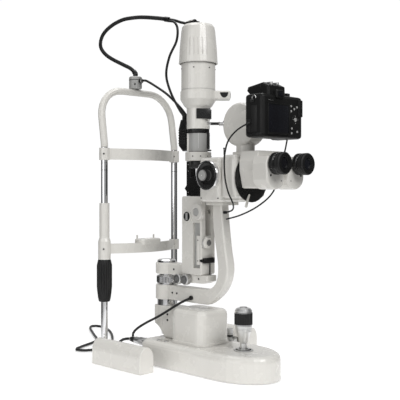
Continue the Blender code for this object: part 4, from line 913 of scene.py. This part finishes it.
        self.make.disc(0.0030, 0.0255, 0.0420, (0.0, 0.0, lever.z), Axis.X, matrix=turn)
        self.make.piece("filter_lever_sleeve", "filter", "black")
        self.make.disc(0.0050, 0.0420, 0.0566, (0.0, 0.0, lever.z), Axis.X, edge=0.0018, matrix=turn)
        self.make.piece("filter_lever_knob", "filter", "chrome")
        self.make.block((-0.0040, -0.0262, wheel_low.z - 0.0005), (0.0250, -0.0198, wheel_high.z + 0.0005),
                        0.0012,
                        matrix=turn)
        self.make.piece("aperture_shroud", "lamp", "black")


def sorted_corner(
    first: float, second: float, low: tuple[float, float], high: tuple[float, float]
) -> tuple[Point, Point]:
    """The two corners of a block whose X sides may be given in either order."""
    return (min(first, second), *low), (max(first, second), *high)


@dataclass
class Microscope(Assembly):
    """Arm, body, magnification knobs, binocular tubes and eyepieces."""

    def build(self) -> None:
        """Dresses the microscope."""
        self.paint("enamel", "microscope_arm", "microscope_body", "beam_splitter", "binocular_housing",
                   "prism_house_left", "prism_house_right", "camera_tube")
        self.paint("black", "dovetail_flange", "eyepiece_left", "eyepiece_right")
        self.paint("grey", "magnification_knob_left", "magnification_knob_right")
        self.drum()
        self.body()
        self.eyepieces()

    def drum(self) -> None:
        """The bright rim, dark knurled ring and knob face on each side."""
        for side, sign in (("left", -1), ("right", 1)):
            low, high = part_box(f"magnification_knob_{side}")
            root = high.x if sign < 0 else low.x
            face = low.x if sign < 0 else high.x
            centre = (0.0, middle("magnification_knob_left").y, middle("magnification_knob_left").z)
            rim = [(0.0262, root), (0.0293, root), (0.0293, root + sign * 0.0068),
                   (0.0284, root + sign * 0.0082),
                   (0.0268, root + sign * 0.0084), (0.0262, root + sign * 0.0078)]
            self.make.turned(rim, centre, Axis.X, 64)
            self.make.piece(f"drum_rim_{side}", "drum", "chrome")
            ring = [(0.0182, root + sign * 0.0030), (0.0258, root + sign * 0.0060),
                    (0.0258, root + sign * 0.0086),
                    (0.0240, root + sign * 0.0092), (0.0190, root + sign * 0.0060)]
            self.make.turned(ring, centre, Axis.X, 64)
            self.make.piece(f"drum_inner_ring_{side}", "drum", "black")
            self.make.disc(0.0182, root + sign * 0.0030, root + sign * 0.0041, centre, Axis.X, sides=48,
                           bore=0.0105)
            self.make.piece(f"drum_well_{side}", "drum", "rubber")
            self.make.disc(0.0115, root + sign * 0.0070, face - sign * 0.0022, centre, Axis.X, flutes=26,
                           depth=0.0006, bore=0.0100)
            self.make.piece(f"drum_knob_knurl_{side}", "drum", "rubber")
            self.make.disc(0.0092, face - sign * 0.0006, face + sign * 0.0004, centre, Axis.X, sides=40)
            self.make.piece(f"drum_knob_face_{side}", "drum", "pale_grey")
            self.make.disc(0.0012, face + sign * 0.0002, face + sign * 0.0007, centre, Axis.X, sides=16)
            self.make.piece(f"drum_knob_dot_{side}", "drum", "mark")

    def body(self) -> None:
        """Backing rings, screws, the arm's cap, the flange's lever and the filter slot on top."""
        low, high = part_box("microscope_body")
        drum = middle("magnification_knob_left")
        for side, sign, face in (("left", -1, low.x), ("right", 1, high.x)):
            self.make.disc(0.0312, face - sign * 0.0010, face + sign * 0.0012, (0.0, drum.y, drum.z),
                           Axis.X, sides=64,
                           edge=0.0006, bore=0.0255)
            self.make.piece(f"drum_backing_{side}", "scope_arm", "enamel")
            for y, z in ((low.y + 0.006, low.z + 0.008), (high.y - 0.008, low.z + 0.008)):
                self.make.screw((face + sign * 0.0000, y, z), (sign, 0, 0), 0.0014)
            self.make.piece(f"body_screws_{side}", "scope_arm", "dark_steel")
        arm_low, arm_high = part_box("microscope_arm")
        for x in (-0.0110, 0.0110):
            for y in (0.098, 0.112):
                self.make.screw((x, y, 0.1455), (x, 0, 0), 0.0022)
        for x in (-0.0060, 0.0060):
            self.make.screw((x, -0.020, low.z - 0.0002), (0, 0, -1), 0.0026)
        self.make.piece("microscope_arm_screws", "scope_arm", "dark_steel")
        self.make.block((-0.024, -0.046, arm_high.z - 0.0060), (0.024, 0.0, low.z - 0.0001), 0.0012)
        self.make.piece("arm_cap", "scope_arm", "enamel")
        self.make.disc(0.0010, 0.431, 0.444, (-0.030, -0.056, 0.0), sides=12)
        self.make.disc(0.0016, 0.4425, 0.4455, (-0.030, -0.056, 0.0), sides=16)
        self.make.piece("splitter_lever_pin", "scope_arm", "black")
        self.make.block((-0.026, -0.1046, 0.4318), (0.004, -0.0975, 0.4352), 0.0006)
        self.make.piece("splitter_slide", "scope_arm", "black")
        flange = middle("dovetail_flange")
        swing = Matrix.Translation((flange.x, flange.y, flange.z)) @ Matrix.Rotation(0.35, 4, "Y")
        self.make.block((-0.0022, -0.0035, -0.0600), (0.0022, 0.0005, -0.0330), 0.0010, matrix=swing)
        self.make.piece("dovetail_lever", "scope_arm", "enamel")

    def eyepieces(self) -> None:
        """Knurled rings, rubber cups, lenses and marks of the eyepieces, and the prism houses' screws."""
        for side, sign in (("left", -1), ("right", 1)):
            low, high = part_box(f"eyepiece_{side}")
            place = middle(f"eyepiece_{side}")
            centre = (place.x, 0.0, place.z)
            body = f"eye_{side}"
            self.make.disc(0.0206, high.y - 0.0098, high.y - 0.0042, centre, Axis.Y, flutes=44, depth=0.0007,
                           bore=0.0190)
            self.make.piece(f"eyepiece_knurl_{side}", body, "black")
            self.make.disc(0.0204, high.y - 0.0032, high.y - 0.0020, centre, Axis.Y, sides=64, bore=0.0172)
            self.make.piece(f"eyepiece_band_{side}", body, "dark_steel")
            cup = [(0.0130, low.y + 0.0002), (0.0188, low.y), (0.0207, low.y + 0.0022),
                   (0.0207, low.y + 0.0040),
                   (0.0198, low.y + 0.0052), (0.0207, low.y + 0.0066), (0.0205, low.y + 0.0100),
                   (0.0190, low.y + 0.0106),
                   (0.0130, low.y + 0.0030)]
            self.make.turned(cup, centre, Axis.Y, 56)
            self.make.piece(f"eyecup_{side}", body, "rubber")
            dome = [(0.0, low.y + 0.0028), (0.0050, low.y + 0.0030), (0.0110, low.y + 0.0044),
                    (0.0110, low.y + 0.0052),
                    (0.0, low.y + 0.0052)]
            self.make.turned(dome, centre, Axis.Y, 44)
            self.make.piece(f"eye_lens_{side}", body, "glass")
            for k in range(9):
                spin = Matrix.Translation(centre) @ Matrix.Rotation(math.radians(200 + 14 * k), 4, "Y")
                self.make.block((0.0200, high.y - 0.0140, -0.0002), (0.0205, high.y - 0.0118, 0.0002),
                                0.0001, 1,
                                matrix=spin)
            self.make.piece(f"eyepiece_marks_{side}", body, "mark")
            house_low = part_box(f"prism_house_{side}")[0]
            house = middle(f"prism_house_{side}")
            self.make.screw((house.x + sign * 0.0150, house_low.y - 0.0001, 0.3900), (0, -1, 0), 0.0021)
            self.make.screw((house.x - sign * 0.0150, house_low.y - 0.0001, 0.3800), (0, -1, 0), 0.0012)
            self.make.piece(f"prism_house_screws_{side}", f"house_{side}", "dark_steel")
        housing_low, housing_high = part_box("binocular_housing")
        for x in (housing_low.x + 0.0115, housing_high.x - 0.0115):
            self.make.screw((x, (housing_low.y + housing_high.y) / 2, housing_low.z - 0.0001), (0, 0, -1),
                            0.0018)
        self.make.piece("binocular_screws", "scope_arm", "dark_steel")


@dataclass
class Camera(Assembly):
    """The camera on the tube behind the microscope."""

    screen_low: tuple[float, float] = (-0.0430, 0.4690)
    screen_high: tuple[float, float] = (0.0150, 0.5210)

    def build(self) -> None:
        """Dresses the camera."""
        self.paint("camera", "camera_body")
        self.paint("black", "shutter_button")
        self.mount()
        self.back()
        self.top()
        self.side()

    def mount(self) -> None:
        """The rings between the tube and the camera."""
        low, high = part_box("camera_body")
        centre = (0.0, 0.0, 0.498)
        face = -0.1356
        self.make.disc(0.0300, face - 0.0002, face + 0.0035, centre, Axis.Y, sides=64, bore=0.0265)
        self.make.piece("camera_mount_ring", "scope_arm", "steel")
        self.make.disc(0.0283, face + 0.0040, face + 0.0100, centre, Axis.Y, flutes=52, depth=0.0007,
                       bore=0.0268)
        self.make.piece("camera_adapter_ring", "scope_arm", "black")
        self.make.disc(0.0186, 0.4372, 0.4388, (0.0, -0.0855, 0.0), sides=56, bore=0.0175)
        self.make.piece("camera_tube_foot", "scope_arm", "warm_enamel")

    def back(self) -> None:
        """Screen, its frame, the viewfinder's window, the buttons and the thumb rest."""
        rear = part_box("camera_body")[0].y + 0.005
        (x0, z0), (x1, z1) = self.screen_low, self.screen_high
        for low, high in (
            ((x0 - 0.003, z0 - 0.003), (x1 + 0.003, z0)), ((x0 - 0.003, z1), (x1 + 0.003, z1 + 0.003)),
            ((x0 - 0.003, z0 - 0.001), (x0, z1 + 0.001)), ((x1, z0 - 0.001), (x1 + 0.003, z1 + 0.001)),
        ):
            self.make.block((low[0], rear - 0.0022, low[1]), (high[0], rear + 0.001, high[1]), 0.0006)
        self.make.piece("screen_frame", "scope_arm", "camera")
        self.make.block((x0 - 0.0002, rear - 0.0014, z0 - 0.0002),
                        (x1 + 0.0002, rear + 0.0006, z1 + 0.0002), 0.0004)
        self.make.piece("screen_glass", "scope_arm", "glass")
        self.make.block((-0.0190, rear - 0.0056, 0.5360), (-0.0070, rear - 0.0044, 0.5450), 0.0010)
        self.make.piece("viewfinder_window", "scope_arm", "glass")
        buttons = [(0.0235, 0.5210), (0.0235, 0.5115), (0.0330, 0.5160), (0.0255, 0.4790), (0.0250, 0.4700),
                   (0.0420, 0.4735), (0.0410, 0.5200), (0.0500, 0.5180)]
        for x, z in buttons:
            self.make.disc(0.0021, rear - 0.0011, rear + 0.0010, (x, 0.0, z), Axis.Y, sides=20)
        self.make.piece("camera_buttons", "scope_arm", "pale_grey")
        centre = (0.0355, 0.0, 0.4960)
        self.make.disc(0.0090, rear - 0.0012, rear + 0.0010, centre, Axis.Y, sides=44, bore=0.0042)
        self.make.piece("camera_pad", "scope_arm", "black")
        self.make.disc(0.0038, rear - 0.0016, rear + 0.0010, centre, Axis.Y, sides=28)
        for k in range(4):
            spin = Matrix.Translation(centre) @ Matrix.Rotation(math.pi / 2 * k, 4, "Y")
            self.make.block((0.0060, rear - 0.0015, -0.0006), (0.0075, rear - 0.0010, 0.0006), 0.0002, 1,
                            matrix=spin)
        self.make.piece("camera_pad_marks", "scope_arm", "pale_grey")
        self.make.block((0.0440, rear - 0.0022, 0.5020), (0.0570, rear + 0.0010, 0.5340), 0.0014)
        self.make.piece("camera_thumb_rest", "scope_arm", "camera_grip")
        self.make.block((x0 + 0.001, rear - 0.0006, 0.5275), (x0 + 0.015, rear + 0.0008, 0.5286), 0.0002, 1)
        self.make.piece("camera_plate_line", "scope_arm", "steel")

    def top(self) -> None:
        """Mode dial, shoe, flash seam, command wheel and the button's ring."""
        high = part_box("camera_body")[1].z
        deck = 0.5400
        self.make.disc(0.0088, deck - 0.0002, deck + 0.0065, (0.0310, -0.1590, 0.0), flutes=30, depth=0.0006)
        self.make.piece("mode_dial", "scope_arm", "black")
        self.make.disc(0.0070, deck + 0.0060, deck + 0.0069, (0.0310, -0.1590, 0.0), sides=40)
        self.make.piece("mode_dial_face", "scope_arm", "dark_steel")
        for x in (-0.0220, -0.0050):
            self.make.block((x - 0.0011, -0.1720, high - 0.0052), (x + 0.0011, -0.1580, high + 0.0009),
                            0.0004)
        self.make.piece("flash_shoe", "scope_arm", "steel")
        self.make.block((-0.0386, -0.1560, 0.5440), (0.0126, -0.1552, 0.5605), 0.0002, 1)
        self.make.piece("flash_seam", "scope_arm", "black")
        button = middle("shutter_button")
        self.make.disc(0.0066, 0.5336, 0.5349, (button.x, button.y, 0.0), sides=40, bore=0.0051)
        self.make.piece("shutter_ring", "scope_arm", "dark_steel")
        self.make.disc(0.0050, 0.0420, 0.0500, (0.0, -0.1395, 0.5375), Axis.X, flutes=20, depth=0.0006)
        self.make.piece("command_wheel", "scope_arm", "rubber")

    def side(self) -> None:
        """The port doors, the strap lug and the grip's covering."""
        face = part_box("camera_body")[0].x + 0.003
        self.make.block((face - 0.0012, -0.1655, 0.4700), (face + 0.0010, -0.1520, 0.5180), 0.0012)
        self.make.block((face - 0.0012, -0.1505, 0.4700), (face + 0.0010, -0.1400, 0.4930), 0.0012)
        self.make.piece("port_doors", "scope_arm", "rubber")
        arch = [Vector((face - 0.0006, -0.1590 - 0.0042 * math.cos(a), 0.5330 + 0.0034 * math.sin(a)))
                for a in [math.pi * k / 10 for k in range(11)]]
        self.make.sweep([arch[0] - Vector((0, 0, 0.002)), *arch, arch[-1] - Vector((0, 0, 0.002))],
                        [0.0007] * 13, 8)
        self.make.piece("strap_lug", "scope_arm", "steel")
        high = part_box("camera_body")[1]
        self.make.block((0.0285, -0.1420, 0.4650), (0.0600, high.y + 0.0008, 0.5290), 0.0055, 3)
        self.make.piece("camera_grip_cover", "scope_arm", "camera_grip")
        self.make.block((-0.0596, -0.1760, 0.4640), (-0.0560, -0.1390, 0.4672), 0.0008)
        self.make.piece("camera_base_edge", "scope_arm", "black")


class Way(Enum):
    """Where a lead's far end is."""

    INTO_OBJECT = "object"
    PLUG = "plug"


@dataclass(frozen=True)
class Lead:
    """One lead: its facts and its route."""

    name: str
    node: str
    body: str
    diameter: float
    spacing: float
    far_end: Way
    lay: str
    route: tuple[Point, ...]


@dataclass
class Wiring(Assembly):
    """Every lead, with the glands and the plug on them."""

    def leads(self) -> list[Lead]:
        """The leads, each along the route that the frame holds."""
        return [
            Lead("hose_end_cable", "hose_end_lead", "lamp_arm", 0.0060, 0.004, Way.INTO_OBJECT, "hanging", (
                (0.0, 0.1325, 0.7283), (0.0, 0.116, 0.7243), (0.0, 0.098, 0.7175), (0.0, 0.0785, 0.7118))),
            Lead("lamp_side_cable", "lamp_side_lead", "lamp_arm", 0.0052, 0.006, Way.INTO_OBJECT, "hanging", (
                (-0.0058, 0.1270, 0.7235), (-0.012, 0.104, 0.7165), (-0.014, 0.0925, 0.7000),
                (-0.012, 0.0985, 0.6750),
                (-0.010, 0.1220, 0.6460), (-0.010, 0.1320, 0.6090), (-0.009, 0.1194, 0.5710),
                (-0.006, 0.0960, 0.5330),
                (-0.0044, 0.0855, 0.5200), (-0.0042, 0.0830, 0.5115))),
            Lead("fixation_cable", "fixation_lead", "lamp_arm", 0.0052, 0.006, Way.INTO_OBJECT, "hanging", (
                (0.0, 0.2226, 0.6060), (0.0, 0.2080, 0.6045), (0.0, 0.1785, 0.5903), (0.001, 0.1461, 0.5721),
                (0.002, 0.1240, 0.5560), (0.003, 0.1000, 0.5360), (0.0042, 0.0855, 0.5200),
                (0.0042, 0.0830, 0.5115))),
            Lead("camera_cable", "camera_lead", "scope_arm", 0.0032, 0.005, Way.INTO_OBJECT, "hanging", (
                (-0.0600, -0.150, 0.486), (-0.0655, -0.149, 0.485), (-0.0680, -0.125, 0.474),
                (-0.0640, -0.100, 0.457),
                (-0.0600, -0.0870, 0.435), (-0.0580, -0.0830, 0.410), (-0.0560, -0.0840, 0.382),
                (-0.0540, -0.0900, 0.3580), (-0.0400, -0.0890, 0.3370), (-0.010, -0.0600, 0.3240),
                (-0.006, -0.0370, 0.3180))),
            Lead("arm_cable", "arm_lead", "base", 0.0052, 0.0065, Way.INTO_OBJECT, "hanging", (
                (-0.0145, 0.0540, 0.1400), (-0.024, 0.0740, 0.1290), (-0.030, 0.1000, 0.1130),
                (-0.034, 0.1300, 0.0960), (-0.037, 0.1650, 0.0790), (-0.039, 0.1900, 0.0650),
                (-0.040, 0.2045, 0.0530), (-0.040, 0.2065, 0.0445))),
            Lead("power_cable", "power_lead", "headrest_and_rails", 0.0060, 0.0125, Way.PLUG, "loose", (
                (-0.040, 0.2152, 0.0380), (-0.040, 0.2400, 0.0330), (-0.030, 0.2850, 0.0100),
                (0.0, 0.3300, 0.0034),
                (0.050, 0.3900, 0.0034), (0.099, 0.4600, 0.0034), (0.128, 0.5250, 0.0034),
                (0.122, 0.5600, 0.0034),
                (0.096, 0.5400, 0.0034), (0.053, 0.4700, 0.0034), (0.005, 0.3950, 0.0034),
                (-0.062, 0.3620, 0.0034),
                (-0.090, 0.3450, 0.0034), (-0.082, 0.3200, 0.0034), (-0.050, 0.3150, 0.0034),
                (-0.030, 0.3350, 0.0034))),
            Lead("trigger_cable", "", "scope_arm", 0.0032, 0.005, Way.INTO_OBJECT, "hanging", (
                (0.048, -0.150, 0.4596), (0.048, -0.145, 0.440), (0.050, -0.133, 0.410),
                (0.048, -0.126, 0.378),
                (0.036, -0.118, 0.352), (0.014, -0.102, 0.330), (-0.003, -0.075, 0.314),
                (-0.005, -0.0390, 0.3050))),
        ]

    def build(self) -> None:
        """Lays every lead and puts the plug on the power lead."""
        for lead in self.leads():
            route = smooth_route(lead.route, lead.spacing)
            measured = sum((q - p).length for p, q in zip(route, route[1:]))
            LOG.info("%s measures %.4f m", lead.name, measured)
            made = self.tube(lead, route)
            with_pieces = [self.plug(route)] if lead.far_end is Way.PLUG else []
        self.glands()

    def tube(self, lead: Lead, route: list[Vector]) -> bpy.types.Object:
        """A lead's round sheath along its route."""
        curve = bpy.data.curves.new(lead.name, "CURVE")
        curve.dimensions = "3D"
        curve.bevel_depth = lead.diameter / 2
        curve.bevel_resolution = 3
        curve.use_fill_caps = True
        spline = curve.splines.new("POLY")
        spline.points.add(len(route) - 1)
        for point, place in zip(spline.points, route):
            point.co = (*place, 1.0)
        spline.use_smooth = True
        made = bpy.data.objects.new(lead.name, curve)
        bpy.context.scene.collection.objects.link(made)
        self.looks.dress(made, "sheath")
        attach(made, lead.body)
        if lead.node:
            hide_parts(lead.node)
        return made

    def plug(self, route: list[Vector]) -> bpy.types.Object:
        """The plug on the power lead, lying in line with its last stretch."""
        ahead = (route[-1] - route[-2]).normalized()
        facing = ahead.to_track_quat("Z", "Y").to_matrix().to_4x4()
        place = Matrix.Translation(route[-1] - ahead * 0.004 + Vector((0.0, 0.0, 0.0022))) @ facing
        profile = [(0.0, 0.0), (0.0034, 0.0), (0.0038, 0.010), (0.0054, 0.012), (0.0054, 0.030),
                   (0.0046, 0.032),
                   (0.0030, 0.0325), (0.0030, 0.042), (0.0, 0.042)]
        self.make.turned(profile, (0.0, 0.0, 0.0), sides=28, matrix=place)
        return self.make.piece("power_plug", "headrest_and_rails", "black")

    def glands(self) -> None:
        """The small strain reliefs where leads enter the instrument."""
        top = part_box("connector_block")[1]
        for x in (-0.0042, 0.0042):
            self.make.turned([(0.0027, top.z - 0.002), (0.0040, top.z - 0.002), (0.0036, top.z + 0.010),
                              (0.0027, top.z + 0.012)], (x, 0.0832, 0.0), sides=24)
        self.make.piece("connector_reliefs", "lamp_arm", "rubber")
        self.make.disc(0.0044, -0.0155, -0.0108, (0.0, 0.0530, 0.1405), Axis.X)
        self.make.piece("arm_cable_gland", "scope_arm", "black")
        self.make.disc(0.0030, -0.0402, -0.0330, (-0.006, 0.0, 0.3185), Axis.Y)
        self.make.piece("camera_cable_plug", "scope_arm", "black")


@dataclass
class Studio:
    """Floor, light and camera."""

    lens: float = 70.2
    eye: Point = (-1.137, -1.097, 0.365)
    drop: float = -0.0275
    surround: float = 0.56
    dimmest: float = 0.05
    dims_between: tuple[float, float] = (0.45, 0.9)
    backdrop: float = 1.02
    floor_glow: float = 0.28
    floor_fades: tuple[float, float] = (0.34, 0.85)

    def build(self) -> None:
        """Sets up the studio."""
        self.camera()
        self.floor()
        self.lights()

    def camera(self) -> None:
        """The camera, level and at 45 degrees to the instrument."""
        data = bpy.data.cameras.new("camera")
        data.lens, data.sensor_width = self.lens, 36.0
        data.shift_y = self.drop
        camera = bpy.data.objects.new("camera", data)
        camera.location = self.eye
        camera.rotation_euler = (math.pi / 2, 0.0, -math.pi / 4)
        bpy.context.scene.collection.objects.link(camera)
        bpy.context.scene.camera = camera

    def floor(self) -> None:
        """A wide pale floor that fades into nothing."""
        shape = bmesh.new()
        bmesh.ops.create_grid(shape, x_segments=1, y_segments=1, size=30.0)
        mesh = bpy.data.meshes.new("floor")
        shape.to_mesh(mesh)
        shape.free()
        floor = bpy.data.objects.new("floor", mesh)
        floor.location.z = -0.0006
        bpy.context.scene.collection.objects.link(floor)
        shader = Shader("floor")
        paper = shader.noise(3.0, 2.0).between(0.3, 0.7)
        shader.feed(shader.surface.inputs["Alpha"], 1.0 - shader.reach().between(*self.floor_fades))
        shader.feed(shader.surface.inputs["Base Color"], shader.mix(paper, (0.93, 0.93, 0.93),
                                                                    (0.95, 0.95, 0.95)))
        shader.surface.inputs["Roughness"].default_value = 0.7
        shader.surface.inputs["Emission Color"].default_value = (1.0, 1.0, 1.0, 1.0)
        shader.surface.inputs["Emission Strength"].default_value = self.floor_glow
        mesh.materials.append(shader.material)

    def surroundings(self) -> None:
        """A world bright in front and behind, dim at both sides, and white where the camera sees it."""
        world = bpy.data.worlds.new("studio")
        world.use_nodes = True
        tree = Tree(world.node_tree)
        sky = tree.tree.nodes["Background"]
        tree.feed(sky.inputs["Color"], (1.0, 1.0, 1.0, 1.0))
        ahead = tree.node("ShaderNodeTexCoord").outputs["Generated"]
        along = {0: ahead, 1: (math.sqrt(0.5), -math.sqrt(0.5), 0.0)}
        sideways = tree.node("ShaderNodeVectorMath", {"operation": "DOT_PRODUCT"}, along)
        size = tree.node("ShaderNodeMath", {"operation": "ABSOLUTE"}, {0: sideways.outputs["Value"]})
        start, end = self.dims_between
        dimmed = tree.node(
            "ShaderNodeMapRange",
            {"interpolation_type": "SMOOTHSTEP"},
            {"Value": size.outputs[0], "From Min": start, "From Max": end,
             "To Min": self.surround, "To Max": self.dimmest},
        )
        seen = tree.node("ShaderNodeLightPath").outputs["Is Camera Ray"]
        strength = tree.node(
            "ShaderNodeMapRange", {},
            {"Value": seen, "To Min": dimmed.outputs["Result"], "To Max": self.backdrop},
        )
        tree.feed(sky.inputs["Strength"], strength.outputs["Result"])
        bpy.context.scene.world = world

    def lights(self) -> None:
        """A bright surround, a key from the operator's left, a fill and a top light."""
        self.surroundings()
        bpy.context.scene.view_settings.view_transform = "Standard"
        target = Vector((0.0, 0.0, 0.35))
        for name, place, size, power in (
            ("key", (-0.4, -1.9, 1.7), 1.1, 26.0), ("fill", (-2.0, 0.2, 0.9), 1.3, 9.0),
            ("top", (0.3, 0.5, 2.2), 1.2, 16.0),
        ):
            data = bpy.data.lights.new(name, "AREA")
            data.size, data.energy = size, power
            light = bpy.data.objects.new(name, data)
            light.location = place
            light.rotation_euler = (target - Vector(place)).to_track_quat("-Z", "Y").to_euler()
            bpy.context.scene.collection.objects.link(light)


def main() -> None:
    """Dresses the instrument and lights it."""
    logging.basicConfig(level=logging.INFO, format="%(message)s")
    looks = Looks()
    Studio().build()
    Wiring(looks).build()
    for assembly in (Headrest, Base, Illumination, Microscope, Camera):
        assembly(looks).build()


if __name__ == "__main__":
    main()
